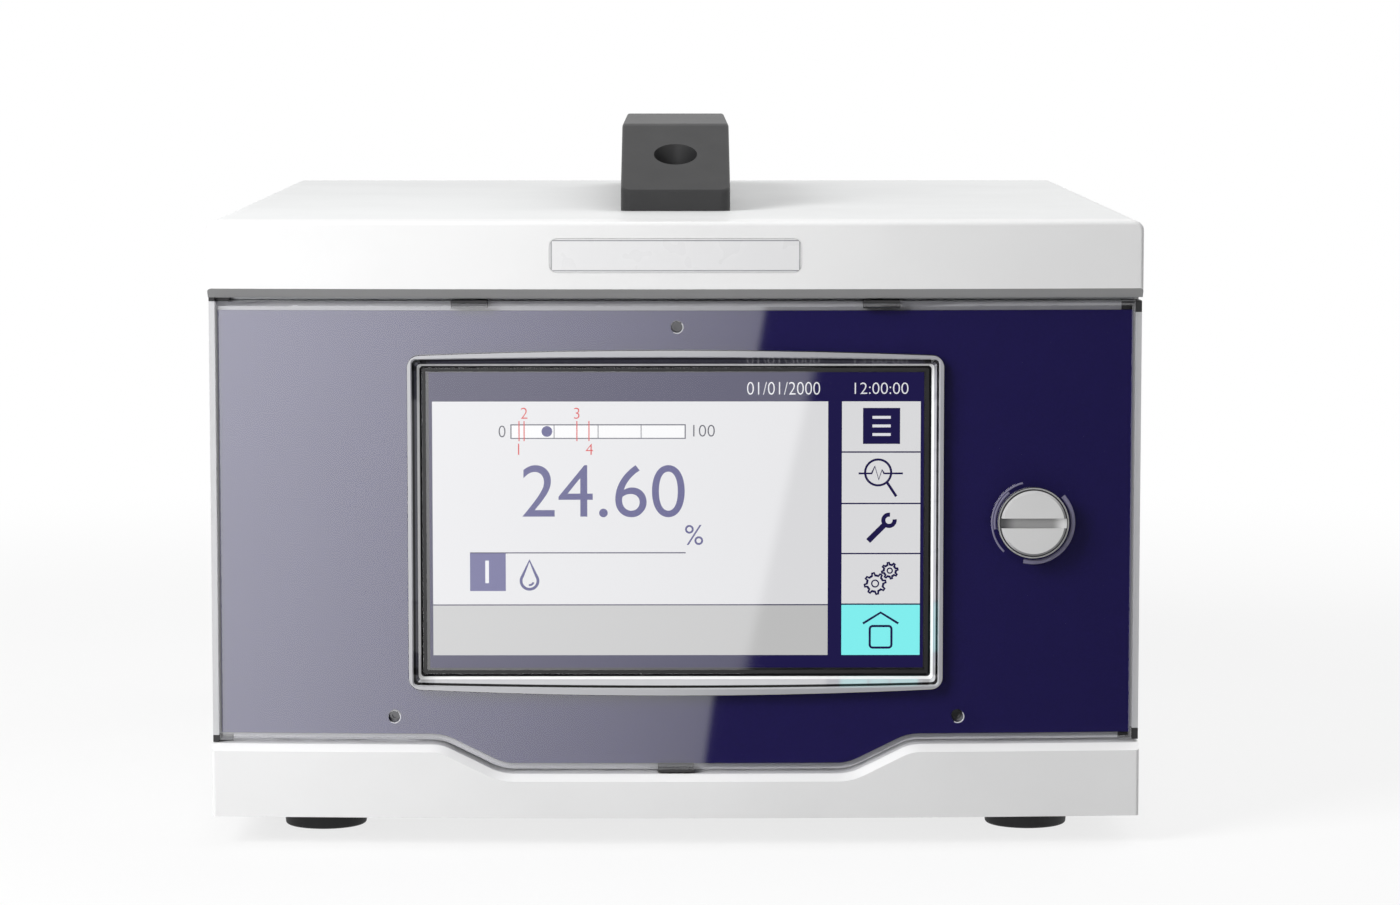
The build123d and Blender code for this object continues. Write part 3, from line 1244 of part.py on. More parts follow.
def carrying_handle():
    """The handle: two sloping feet and a flat grip over a finger gap."""
    back = HANDLE_FRONT + HANDLE_LENGTH
    crest = TOP_Z + HANDLE_HEIGHT
    shoulder = TOP_Z + HANDLE_FACE
    grip = crest - HANDLE_GRIP
    points = [
        (HANDLE_FRONT, TOP_Z),
        (HANDLE_FRONT, shoulder),
        (HANDLE_FRONT + HANDLE_SLOPE_RUN, crest),
        (back - HANDLE_SLOPE_RUN, crest),
        (back, shoulder),
        (back, TOP_Z),
        (back - HANDLE_FOOT, TOP_Z),
        (back - HANDLE_FOOT - HANDLE_ARCH_RUN, grip),
        (HANDLE_FRONT + HANDLE_FOOT + HANDLE_ARCH_RUN, grip),
        (HANDLE_FRONT + HANDLE_FOOT, TOP_Z),
    ]
    face = make_face(Polyline(*points, close=True))
    arch = face.vertices().filter_by(lambda v: abs(v.Y - grip) < PICK)
    crests = face.vertices().filter_by(lambda v: abs(v.Y - crest) < PICK)
    face = fillet(arch, HANDLE_ARCH_RADIUS)
    face = fillet(crests, HANDLE_CREST_RADIUS)
    side = Plane((-HANDLE_WIDTH / 2, 0, 0), x_dir=(0, 1, 0), z_dir=(1, 0, 0))
    handle = extrude(side * face, HANDLE_WIDTH)
    ends = handle.edges().filter_by(Axis.Z).filter_by(lambda edge: edge.center().Z < shoulder)
    handle = fillet(ends, HANDLE_CORNER)
    rim = handle.faces().filter_by(lambda f: f.normal_at().Z > PICK).edges()
    rim = rim.filter_by(lambda edge: abs(abs(edge.center().X) - HANDLE_WIDTH / 2) < 0.01)
    handle = fillet(rim, HANDLE_EDGE)
    seat = TOP_Z + HANDLE_SEAT
    for y in handle_screw_places():
        handle -= post(0, y, HANDLE_HOLE_RADIUS, seat, crest + HANDLE_EDGE)
        handle -= post(0, y, HANDLE_SCREW_RADIUS + FIT, TOP_Z, seat)
    return handle


def handle_screws():
    screws = []
    for y in handle_screw_places():
        seat = TOP_Z + HANDLE_SEAT
        head = post(0, y, HANDLE_HEAD_RADIUS, seat, seat + HANDLE_HEAD_HEIGHT)
        key = extrude(hexagon(HANDLE_KEY_ACROSS), HANDLE_HEAD_HEIGHT)
        socket = Pos(0, y, seat + HANDLE_HEAD_HEIGHT / 2) * key
        shank = post(0, y, HANDLE_SCREW_RADIUS, TOP_Z - SHEET - HANDLE_NUT_HEIGHT - THREAD_SHOWN, seat)
        screws.append(head + shank - socket)
    return screws


def handle_nuts():
    nuts = []
    for y in handle_screw_places():
        low = TOP_Z - SHEET - HANDLE_NUT_HEIGHT
        nut = Pos(0, y, low) * extrude(hexagon(HANDLE_NUT_ACROSS), HANDLE_NUT_HEIGHT)
        nuts.append(nut - post(0, y, HANDLE_SCREW_RADIUS + FIT, low, TOP_Z - SHEET))
    return nuts


def board_places():
    """Screw places of the main board and the power supply board."""
    places = []
    boards = (
        (BOARD_LEFT, BOARD_RIGHT, BOARD_FRONT, BOARD_BACK),
        (SUPPLY_LEFT, SUPPLY_RIGHT, SUPPLY_FRONT, SUPPLY_BACK),
    )
    inset = BOARD_SCREW_INSET
    for left, right, front, back in boards:
        places += [(x, y) for x in (left + inset, right - inset) for y in (front + inset, back - inset)]
    return places


def board_standoffs():
    standoffs = []
    for x, y in board_places():
        body = Pos(x, y, TRAY_TOP) * extrude(hexagon(STANDOFF_ACROSS), BOARD_STANDOFF)
        standoffs.append(body - post(x, y, SMALL_SCREW_RADIUS + FIT, TRAY_TOP, BOARD_LOW))
    return standoffs


def chassis_screws():
    """Screws that enter downwards: both boards and the front frame's foot."""
    flange = TRAY_TOP + FRAME_FLANGE_SHEET
    board_length = BOARD_THICKNESS + BOARD_STANDOFF / 2
    screws = [screw_down(x, y, BOARD_TOP, board_length) for x, y in board_places()]
    return screws + [screw_down(x, y, flange, FRAME_FLANGE_SHEET + SHEET) for x, y in frame_foot_places()]


def panel_screws():
    """Screws that enter forwards: the fascias' and the rear panel's."""
    length = FRAME_THICKNESS + FASCIA_SCREW_GRIP
    screws = [screw_forward(x, z, FRAME_BACK, length) for x, z in fascia_screw_places()]
    return screws + [screw_forward(x, PANEL_SCREW_Z, PANEL_BACK, 2 * SHEET) for x in PANEL_SCREW_X]


def board_blank(left, right, front, back):
    board = block(left, right, front, back, BOARD_LOW, BOARD_TOP)
    return board - [post(x, y, SMALL_SCREW_RADIUS + FIT, BOARD_LOW, BOARD_TOP) for x, y in board_places()]


def chips(left, places):
    """Parts soldered to a board: middle from its left edge, depth, width, length and height of each."""
    return [
        Pos(left + x, y, BOARD_TOP + height / 2) * Box(width, length, height)
        for x, y, width, length, height in places
    ]


def main_board():
    return board_blank(BOARD_LEFT, BOARD_RIGHT, BOARD_FRONT, BOARD_BACK) + chips(BOARD_LEFT, MAIN_CHIPS)


def power_supply_board():
    return board_blank(SUPPLY_LEFT, SUPPLY_RIGHT, SUPPLY_FRONT, SUPPLY_BACK) + chips(SUPPLY_LEFT, SUPPLY_CHIPS)


def supply_transformer():
    """A laminated core with its winding showing in front and behind."""
    half_width = TRANSFORMER_WIDTH / 2
    half_length = TRANSFORMER_LENGTH / 2
    top = BOARD_TOP + TRANSFORMER_HEIGHT
    core = block(
        TRANSFORMER_X - half_width,
        TRANSFORMER_X + half_width,
        TRANSFORMER_Y - half_length / 2,
        TRANSFORMER_Y + half_length / 2,
        BOARD_TOP,
        top,
    )
    margin = TRANSFORMER_HEIGHT / 6
    winding = block(
        TRANSFORMER_X - half_width + margin,
        TRANSFORMER_X + half_width - margin,
        TRANSFORMER_Y - half_length,
        TRANSFORMER_Y + half_length,
        BOARD_TOP + margin,
        top - margin,
    )
    return core + fillet(winding.edges().filter_by(Axis.Z), margin)


def supply_capacitors():
    cans = []
    for number in (-1, 0, 1):
        x = CAPACITOR_X + number * CAPACITOR_PITCH
        can = post(x, CAPACITOR_Y, CAPACITOR_RADIUS, BOARD_TOP, BOARD_TOP + CAPACITOR_HEIGHT)
        cans.append(fillet(can.edges().group_by(Axis.Z)[-1], CAPACITOR_EDGE))
    return cans


def supply_heatsink():
    """A finned heat sink that stands along the board's left edge."""
    middle = (SUPPLY_FRONT + SUPPLY_BACK) / 2
    front = middle - HEATSINK_LENGTH / 2
    back = middle + HEATSINK_LENGTH / 2
    left = SUPPLY_LEFT + HEATSINK_INSET
    top = BOARD_TOP + HEATSINK_HEIGHT
    sink = block(left, left + HEATSINK_BASE, front, back, BOARD_TOP, top)
    pitch = (HEATSINK_LENGTH - HEATSINK_FIN) / (HEATSINK_FINS - 1)
    for number in range(HEATSINK_FINS):
        y = front + number * pitch
        sink += block(left, left + HEATSINK_DEPTH, y, y + HEATSINK_FIN, BOARD_TOP, top)
    return sink


def drawer_room(growth, front, back):
    width = DRAWER_WIDTH / 2 + growth
    height = DRAWER_HEIGHT / 2 + growth
    return block(ENTRY_X - width, ENTRY_X + width, front, back, DRAWER_Z - height, DRAWER_Z + height)


def power_inlet():
    """The power entry: a flanged moulding with an inlet, a fuse drawer's well and a switch's well."""
    outline = RectangleRounded(ENTRY_FLANGE_WIDTH, ENTRY_FLANGE_HEIGHT, ENTRY_CORNER)
    flange = upright(Pos(ENTRY_X, ENTRY_Z) * outline, PANEL_BACK, ENTRY_BACK)
    body = Pos(ENTRY_X, ENTRY_Z) * Rectangle(ENTRY_BODY_WIDTH, ENTRY_BODY_HEIGHT)
    entry = flange + upright(body, PANEL_BACK - ENTRY_BODY_DEPTH, PANEL_BACK)
    mouth = Pos(ENTRY_X, INLET_Z) * Rectangle(INLET_WIDTH, INLET_HEIGHT)
    mouth = chamfer(mouth.vertices().group_by(Axis.Y)[-1], INLET_CHAMFER)
    entry -= upright(mouth, ENTRY_BACK - INLET_DEPTH, ENTRY_BACK)
    entry -= drawer_room(DRAWER_GAP, ENTRY_BACK - DRAWER_DEPTH - DRAWER_GAP, ENTRY_BACK)
    half = ROCKER_WIDTH / 2 + ROCKER_GAP
    entry -= cross_rod(ROCKER_Y, ROCKER_Z, ROCKER_RADIUS + ROCKER_GAP, ENTRY_X - half, ENTRY_X + half)
    stub = ROCKER_WIDTH / 2 + ROCKER_STUB_LENGTH + ROCKER_GAP
    return entry - cross_rod(ROCKER_Y, ROCKER_Z, ROCKER_STUB_RADIUS + FIT, ENTRY_X - stub, ENTRY_X + stub)


def inlet_pins():
    """The inlet's three flat pins, the middle one higher."""
    front = ENTRY_BACK - INLET_DEPTH
    pins = []
    for number, lift in ((-1, 0), (0, INLET_PIN_LIFT), (1, 0)):
        x = ENTRY_X + number * INLET_PIN_PITCH
        z = INLET_Z + lift - INLET_PIN_LIFT / 2
        pin = block(
            x - INLET_PIN_WIDTH / 2,
            x + INLET_PIN_WIDTH / 2,
            front,
            front + INLET_PIN_LENGTH,
            z - INLET_PIN_HEIGHT / 2,
            z + INLET_PIN_HEIGHT / 2,
        )
        pins.append(chamfer(pin.faces().sort_by(Axis.Y)[-1].edges(), INLET_PIN_POINT))
    return pins


def fuse_drawer():
    """The drawer that carries two fuses in an open-topped tray."""
    front = ENTRY_BACK - DRAWER_DEPTH
    drawer = drawer_room(0, front, ENTRY_BACK + DRAWER_PROUD)
    bottom = DRAWER_Z - DRAWER_HEIGHT / 2
    half = DRAWER_WIDTH / 2 - DRAWER_WALL
    face = ENTRY_BACK - DRAWER_WALL
    floor = bottom + DRAWER_WALL
    top = bottom + DRAWER_HEIGHT
    drawer -= block(ENTRY_X - half, ENTRY_X + half, front + DRAWER_WALL, face, floor, top)
    notch = DRAWER_NOTCH / 2
    back = ENTRY_BACK + DRAWER_PROUD
    return drawer - block(ENTRY_X - notch, ENTRY_X + notch, ENTRY_BACK, back, bottom, floor)


def fuses():
    bottom = DRAWER_Z - DRAWER_HEIGHT / 2 + DRAWER_WALL
    middle = ENTRY_BACK - DRAWER_DEPTH / 2
    z = bottom + FUSE_RADIUS + FIT
    front = middle - FUSE_LENGTH / 2
    return [rod(ENTRY_X + i * FUSE_SPREAD, z, FUSE_RADIUS, front, front + FUSE_LENGTH) for i in (-1, 1)]


def power_switch():
    """The rocker: a drum with a shallow V across its face, one half pressed in."""
    half = ROCKER_WIDTH / 2
    drum = cross_rod(ROCKER_Y, ROCKER_Z, ROCKER_RADIUS, ENTRY_X - half, ENTRY_X + half)
    reach = 2 * ROCKER_RADIUS
    rise = reach * math.tan(math.radians(ROCKER_ANGLE))
    valley = ROCKER_Y + ROCKER_VALLEY
    profile = [
        (ROCKER_Y - ROCKER_THICKNESS, ROCKER_Z - reach),
        (valley + rise, ROCKER_Z - reach),
        (valley, ROCKER_Z),
        (valley + rise, ROCKER_Z + reach),
        (ROCKER_Y - ROCKER_THICKNESS, ROCKER_Z + reach),
    ]
    side = Plane((ENTRY_X - half, 0, 0), x_dir=(0, 1, 0), z_dir=(1, 0, 0))
    rocker = drum & extrude(side * make_face(Polyline(*profile, close=True)), ROCKER_WIDTH)
    rocker = rocker.rotate(Axis((0, ROCKER_Y, ROCKER_Z), (1, 0, 0)), -ROCKER_ANGLE)
    stub = half + ROCKER_STUB_LENGTH
    return rocker + cross_rod(ROCKER_Y, ROCKER_Z, ROCKER_STUB_RADIUS, ENTRY_X - stub, ENTRY_X + stub)


def probe_sockets():
    """Round threaded sockets with a flange outside the rear panel."""
    outer = PANEL_BACK + SOCKET_PROUD
    sockets = []
    for x in SOCKET_X:
        socket = rod(x, SOCKET_Z, SOCKET_FLANGE_RADIUS, PANEL_BACK, PANEL_BACK + SOCKET_FLANGE)
        socket += rod(x, SOCKET_Z, SOCKET_BARREL_RADIUS, PANEL_BACK, outer)
        socket += rod(x, SOCKET_Z, SOCKET_THREAD_RADIUS, PANEL_FRONT - SOCKET_INSIDE, PANEL_BACK)
        sockets.append(socket - rod(x, SOCKET_Z, SOCKET_BORE, outer - SOCKET_BORE_DEPTH, outer))
    return sockets


def socket_inserts():
    """The insulating discs and pins at the bottom of the sockets."""
    floor = PANEL_BACK + SOCKET_PROUD - SOCKET_BORE_DEPTH
    face = floor + SOCKET_DISC
    inserts = []
    for x in SOCKET_X:
        insert = rod(x, SOCKET_Z, SOCKET_BORE - FIT, floor, face)
        for number in range(SOCKET_PINS):
            angle = math.radians(360 * number / SOCKET_PINS)
            pin_x = x + SOCKET_PIN_CIRCLE * math.cos(angle)
            pin_z = SOCKET_Z + SOCKET_PIN_CIRCLE * math.sin(angle)
            insert += rod(pin_x, pin_z, SOCKET_PIN_RADIUS, face, face + SOCKET_PIN_LENGTH)
        inserts.append(insert)
    return inserts


def socket_nuts():
    nuts = []
    for x in SOCKET_X:
        sketch = Pos(x, SOCKET_Z) * hexagon(SOCKET_NUT_ACROSS)
        nut = upright(sketch, PANEL_FRONT - SOCKET_NUT_HEIGHT, PANEL_FRONT)
        hole = rod(x, SOCKET_Z, SOCKET_THREAD_RADIUS + FIT, PANEL_FRONT - SOCKET_NUT_HEIGHT, PANEL_FRONT)
        nuts.append(nut - hole)
    return nuts


def network_jack():
    """A network jack with its keyed mouth."""
    half = NETWORK_WIDTH / 2
    front = CONNECTOR_BACK - NETWORK_DEPTH
    top = BOARD_TOP + NETWORK_HEIGHT
    jack = block(NETWORK_X - half, NETWORK_X + half, front, CONNECTOR_BACK, BOARD_TOP, top)
    floor = BOARD_TOP + (NETWORK_HEIGHT - NETWORK_MOUTH_HEIGHT) / 2
    top = floor + NETWORK_MOUTH_HEIGHT
    front = CONNECTOR_BACK - NETWORK_MOUTH_DEPTH
    mouth = NETWORK_MOUTH_WIDTH / 2
    key = NETWORK_KEY_WIDTH / 2
    jack -= block(NETWORK_X - mouth, NETWORK_X + mouth, front, CONNECTOR_BACK, floor, top)
    low = floor - NETWORK_KEY_HEIGHT
    return jack - block(NETWORK_X - key, NETWORK_X + key, front, CONNECTOR_BACK, low, floor)


def service_port():
    """A square service port with a contact tongue."""
    half = SERVICE_WIDTH / 2
    front = CONNECTOR_BACK - SERVICE_DEPTH
    top = BOARD_TOP + SERVICE_HEIGHT
    port = block(SERVICE_X - half, SERVICE_X + half, front, CONNECTOR_BACK, BOARD_TOP, top)
    middle = BOARD_TOP + SERVICE_HEIGHT / 2
    mouth = SERVICE_MOUTH / 2
    floor = CONNECTOR_BACK - SERVICE_MOUTH_DEPTH
    left = SERVICE_X - mouth
    right = SERVICE_X + mouth
    port -= block(left, right, floor, CONNECTOR_BACK, middle - mouth, middle + mouth)
    tongue = SERVICE_TONGUE_WIDTH / 2
    height = SERVICE_TONGUE_HEIGHT / 2
    tip = floor + SERVICE_TONGUE_LENGTH
    left = SERVICE_X - tongue
    right = SERVICE_X + tongue
    return port + block(left, right, floor, tip, middle - height, middle + height)


def header_width(ways):
    return ways * TERMINAL_PITCH + 2 * HEADER_WALL


def terminal_rows():
    return ((SIGNAL_X, SIGNAL_WAYS), (RELAY_X, RELAY_WAYS))


def terminal_headers():
    """Open-backed headers on the board's rear edge."""
    headers = []
    front = CONNECTOR_BACK - HEADER_DEPTH
    for x, ways in terminal_rows():
        half = header_width(ways) / 2
        header = block(x - half, x + half, front, CONNECTOR_BACK, BOARD_TOP, BOARD_TOP + HEADER_HEIGHT)
        inner = half - HEADER_WALL
        low = BOARD_TOP + HEADER_WALL
        high = BOARD_TOP + HEADER_HEIGHT - HEADER_WALL
        floor = front + HEADER_WALL
        headers.append(header - block(x - inner, x + inner, floor, CONNECTOR_BACK, low, high))
    return headers


def terminal_plugs():
    """Pluggable screw terminals: a wire hole and a clamp hole for each way."""
    plugs = []
    back = CONNECTOR_BACK + PLUG_PROUD
    for x, ways in terminal_rows():
        half = ways * TERMINAL_PITCH / 2 - FIT
        low = BOARD_TOP + HEADER_WALL + FIT
        high = BOARD_TOP + HEADER_HEIGHT - HEADER_WALL - FIT
        front = CONNECTOR_BACK - HEADER_DEPTH + 2 * HEADER_WALL
        plug = block(x - half, x + half, front, CONNECTOR_BACK, low, high)
        plug += block(x - half, x + half, CONNECTOR_BACK, back, low, low + PLUG_HEIGHT)
        for way in range(ways):
            way_x = x + (way - (ways - 1) / 2) * TERMINAL_PITCH
            wire = Pos(way_x, low + PLUG_HEIGHT / 3) * Rectangle(WIRE_HOLE, WIRE_HOLE)
            plug -= upright(wire, back - WIRE_HOLE_DEPTH, back)
            clamp_y = CONNECTOR_BACK + PLUG_PROUD / 2
            top = low + PLUG_HEIGHT
            plug -= post(way_x, clamp_y, CLAMP_HOLE_RADIUS, top - CLAMP_HOLE_DEPTH, top)
        plugs.append(plug)
    return plugs


def earth_stud():
    """The bonding stud: a thick root in its two nuts, and a thinner free end."""
    root_back = PANEL_BACK + EARTH_NUT_HEIGHT + SEAT_GAP
    root = rod(EARTH_X, EARTH_Z, EARTH_ROOT_RADIUS, PANEL_FRONT - EARTH_INSIDE, root_back)
    return root + rod(EARTH_X, EARTH_Z, EARTH_RADIUS, root_back, PANEL_BACK + EARTH_PROUD)


def earth_nuts():
    nuts = []
    for front in (PANEL_FRONT - EARTH_NUT_HEIGHT, PANEL_BACK):
        nut = upright(Pos(EARTH_X, EARTH_Z) * hexagon(EARTH_NUT_ACROSS), front, front + EARTH_NUT_HEIGHT)
        hole = rod(EARTH_X, EARTH_Z, EARTH_ROOT_RADIUS + FIT, front, front + EARTH_NUT_HEIGHT)
        nuts.append(nut - hole)
    return nuts


def write(name, pieces):
    """Save one node, moved so that the origin is under the middle of the unit."""
    pieces = pieces if isinstance(pieces, list) else [pieces]
    solids = [Pos(0, -OVERALL_DEPTH / 2, 0) * solid for piece in pieces for solid in piece.solids()]
    shape = solids[0] if len(solids) == 1 else Compound(children=solids)
    export_step(shape, f"parts/{name}.step")


def write_front():
    write("upper_fascia", upper_fascia())
    write("lower_fascia", lower_fascia())
    write("badge_plate", badge_plate())
    write("clear_door_cover", clear_cover())
    write("inner_door_panel", inner_panel())
    write("door_frame", door_frame())
    write("door_screws", door_screws())
    write("door_clips", door_clips(0))
    write("door_buffers", door_buffers())
    write("hinge_bushes", hinge_bushes())
    write("hinge_pins", hinge_pins(0))
    write("front_frame", front_frame())
    write("door_gasket", door_gasket())


def write_display():
    write("window_bezel", window_bezel())
    write("touch_glass", touch_glass())
    write("display_module", display_module())
    write("display_bracket", display_bracket())
    write("display_standoffs", display_standoffs())
    write("display_board", display_board())
    write("display_screws", display_screws())


def write_latch():
    write("latch_barrel", latch_barrel())
    write("latch_barrel_nut", latch_barrel_nut())
    write("latch_plug", latch_plug())
    write("latch_cam", latch_cam())
    write("latch_cam_nut", latch_cam_nut())


def write_housing():
    write("top_cover", top_cover())
    write("base_tray", base_tray())
    write("rear_panel", rear_panel())
    write("cover_screws", cover_screws(0))
    write("panel_screws", panel_screws())
    write("chassis_screws", chassis_screws())
    write("carrying_handle", carrying_handle())
    write("handle_screws", handle_screws())
    write("handle_nuts", handle_nuts())
    for place, (x, y) in foot_places().items():
        write(f"foot_{place}", foot(x, y))
    write("foot_screws", foot_screws())


def write_electronics():
    write("main_board", main_board())
    write("power_supply_board", power_supply_board())
    write("board_standoffs", board_standoffs())
    write("supply_transformer", supply_transformer())
    write("supply_capacitors", supply_capacitors())
    write("supply_heatsink", supply_heatsink())
    write("power_inlet", power_inlet())
    write("inlet_pins", inlet_pins())
    write("fuse_drawer", fuse_drawer())
    write("fuses", fuses())
    write("power_switch", power_switch())


def write_connectors():
    write("probe_sockets", probe_sockets())
    write("socket_inserts", socket_inserts())
    write("socket_nuts", socket_nuts())
    write("network_jack", network_jack())
    write("service_port", service_port())
    write("terminal_headers", terminal_headers())
    write("terminal_plugs", terminal_plugs())
    write("earth_stud", earth_stud())
    write("earth_nuts", earth_nuts())


write_front()
write_display()
write_latch()
write_housing()
write_electronics()
write_connectors()
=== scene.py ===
"""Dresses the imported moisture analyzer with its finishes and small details, and sets the studio."""

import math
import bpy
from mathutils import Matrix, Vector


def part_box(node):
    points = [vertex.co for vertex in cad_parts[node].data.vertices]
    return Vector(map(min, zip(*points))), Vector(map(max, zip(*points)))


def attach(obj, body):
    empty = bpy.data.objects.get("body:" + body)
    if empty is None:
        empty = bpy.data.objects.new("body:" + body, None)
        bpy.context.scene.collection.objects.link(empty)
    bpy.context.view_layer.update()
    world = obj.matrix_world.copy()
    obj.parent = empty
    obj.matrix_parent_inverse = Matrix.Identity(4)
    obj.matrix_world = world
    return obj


bl_info = {
    "name": "Moisture analyzer dressing",
    "version": (1, 0, 0),
    "blender": (4, 5, 0),
    "location": "3D View > Sidebar > Analyzer",
    "description": "Finishes, screen picture, small details and studio for the packed moisture analyzer",
    "category": "Object",
}

import bpy
from mathutils import Matrix, Vector

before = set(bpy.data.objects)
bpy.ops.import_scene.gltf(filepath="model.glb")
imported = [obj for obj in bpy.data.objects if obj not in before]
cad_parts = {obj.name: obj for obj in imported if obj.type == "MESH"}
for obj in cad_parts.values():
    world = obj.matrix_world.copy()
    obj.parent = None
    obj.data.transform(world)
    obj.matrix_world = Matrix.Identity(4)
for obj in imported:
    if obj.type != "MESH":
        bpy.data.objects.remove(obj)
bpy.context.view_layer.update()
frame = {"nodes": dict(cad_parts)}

MM = 0.001
LIT_FLOOR = -159.7
LATCH = (109.4, 99.7)
SOFTBOX = (-800.0, 800.0, -800.0, 800.0)
SOFTBOX_FRONT = -2200.0
SOFTBOX_EDGE = 110.0
SOFTBOX_LEAN = 0.226
SOFTBOX_DIM_END = 0.39
SOFTBOX_FALL = 0.00081
FIXING_HOLES = ((0.4, 159.8), (-86.4, 39.8), (86.6, 39.8))
COVER_FRONT = -169.0
COLLAR_FRONT = -167.2
COLLAR_GLINT_ARCS = ((12.6, 0.7, 105, 225), (11.8, 0.9, 129, 190), (12.15, 1.6, -104, 42))
GLASS_OPENING = (-77.6, 77.6, 52.4, 146.8)
GLASS_FRONT = -162.0
SEAL_WIDTH = 1.1
BOARD_THICKNESS = 1.6
COVER_BOW_RADIUS = 2258.5
PRINT_THICKNESS = 0.05

# The screen's fields, as low X, high X, low Z and high Z in millimetres
LIT_AREA = (-75.7, 76.6, 53.4, 145.55)
PAGE = (-74.7, 46.8, 73.6, 136.3)
BAND = (-74.7, 46.8, 57.8, 73.25)
KEYS = (51.05, 75.2, 57.8, 136.3)
HOME_KEY = (51.05, 75.2, 57.8, 73.6)
MENU_KEY = (57.5, 68.9, 123.2, 134.3)
GAUGE = (-50.7, 3.1, 124.8, 129.3)
CHANNEL_BOX = (-63.3, -52.3, 77.75, 89.4)
READING_LINE = (-63.3, 3.2, 89.4, 89.75)
KEY_LINES = (120.7, 104.8, 89.3, 73.6)
GAUGE_LINE = 0.35
GAUGE_STEPS = (-37.3, -23.8, -10.6)
ALARM_MARKS = (-48.05, -46.5, -30.3, -26.6)

CAMERA_TILT = 5.6733
CAMERA_TURN = 0.3153


def linear(red, green, blue):
    """A colour written in display values from 0 to 255, as the shader wants it."""
    values = []
    for value in (red, green, blue):
        share = value / 255
        low = share <= 0.04045
        values.append(share / 12.92 if low else ((share + 0.055) / 1.055) ** 2.4)
    return tuple(values)


def colour_property(name, description, rgb):
    return bpy.props.FloatVectorProperty(
        name=name,
        description=description,
        subtype="COLOR",
        size=3,
        min=0.0,
        max=1.0,
        default=linear(*rgb),
    )


def length_property(name, description, millimetres):
    return bpy.props.FloatProperty(
        name=name,
        description=description,
        default=millimetres * MM,
        min=0.0,
        unit="LENGTH",
        subtype="DISTANCE",
    )


class CaseProperties(bpy.types.PropertyGroup):
    paint: colour_property("Paint", "Powder paint of the cover, the tray and the rear panel", (238, 239, 239))
    moulding: colour_property("Moulding", "White plastic of the two fascias", (246, 246, 246))
    handle: colour_property("Handle", "Grey plastic of the carrying handle", (38, 38, 39))
    rubber: colour_property("Rubber", "Rubber of the feet and the gasket", (38, 38, 40))


class DoorProperties(bpy.types.PropertyGroup):
    panel: colour_property("Panel", "Dark blue panel behind the clear cover", (38, 30, 97))
    frame: colour_property("Frame", "Grey moulding of the door", (208, 208, 210))
    gloss: bpy.props.FloatProperty(
        name="Cover gloss",
        description="How much of what is in front of it the clear cover mirrors, times that of plain acrylic",
        default=3.2,
        min=0.0,
        max=6.0,
        subtype="FACTOR",
    )


class ScreenProperties(bpy.types.PropertyGroup):
    page: colour_property("Page", "White of the lit page", (219, 219, 221))
    band: colour_property("Band", "Grey band under the page", (190, 190, 190))
    ink: colour_property("Ink", "Dark blue of the bars, digits and pictograms", (30, 25, 72))
    mark: colour_property("Marks", "Red of the alarm marks", (206, 18, 18))
    home: colour_property("Home key", "Light blue behind the home pictogram", (130, 240, 240))
    reading: bpy.props.StringProperty(
        name="Reading", description="Digits of the large reading", default="24.60"
    )
    date: bpy.props.StringProperty(name="Date", description="Date in the top bar", default="01/01/2000")
    clock: bpy.props.StringProperty(name="Time", description="Time in the top bar", default="12:00:00")
    brightness: bpy.props.FloatProperty(
        name="Brightness",
        description="Strength of the lit screen",
        default=1.14,
        min=0.0,
        max=3.0,
        subtype="FACTOR",
    )


class StudioProperties(bpy.types.PropertyGroup):
    key_power: bpy.props.FloatProperty(
        name="Key lamp",
        description="Power of the soft lamp at the front left",
        default=12.8,
        min=0.0,
        unit="POWER",
    )
    top_power: bpy.props.FloatProperty(
        name="Top lamp", description="Power of the soft lamp above", default=5.6, min=0.0, unit="POWER"
    )
    fill: bpy.props.FloatProperty(
        name="Fill", description="Strength of the even light from all sides", default=0.25, min=0.0, max=2.0
    )
    softbox: bpy.props.FloatProperty(
        name="Softbox",
        description="Brightness of the softbox that the door mirrors",
        default=3.3,
        min=0.0,
        max=20.0,
    )
    camera_distance: length_property("Camera distance", "From the middle of the unit to the camera", 1517.78)
    camera_height: length_property("Camera height", "Height of the camera above the bench", 255.486)
    lens: bpy.props.FloatProperty(
        name="Lens", description="Focal length of the camera", default=114.3, min=1.0, unit="CAMERA"
    )


# Shader maths


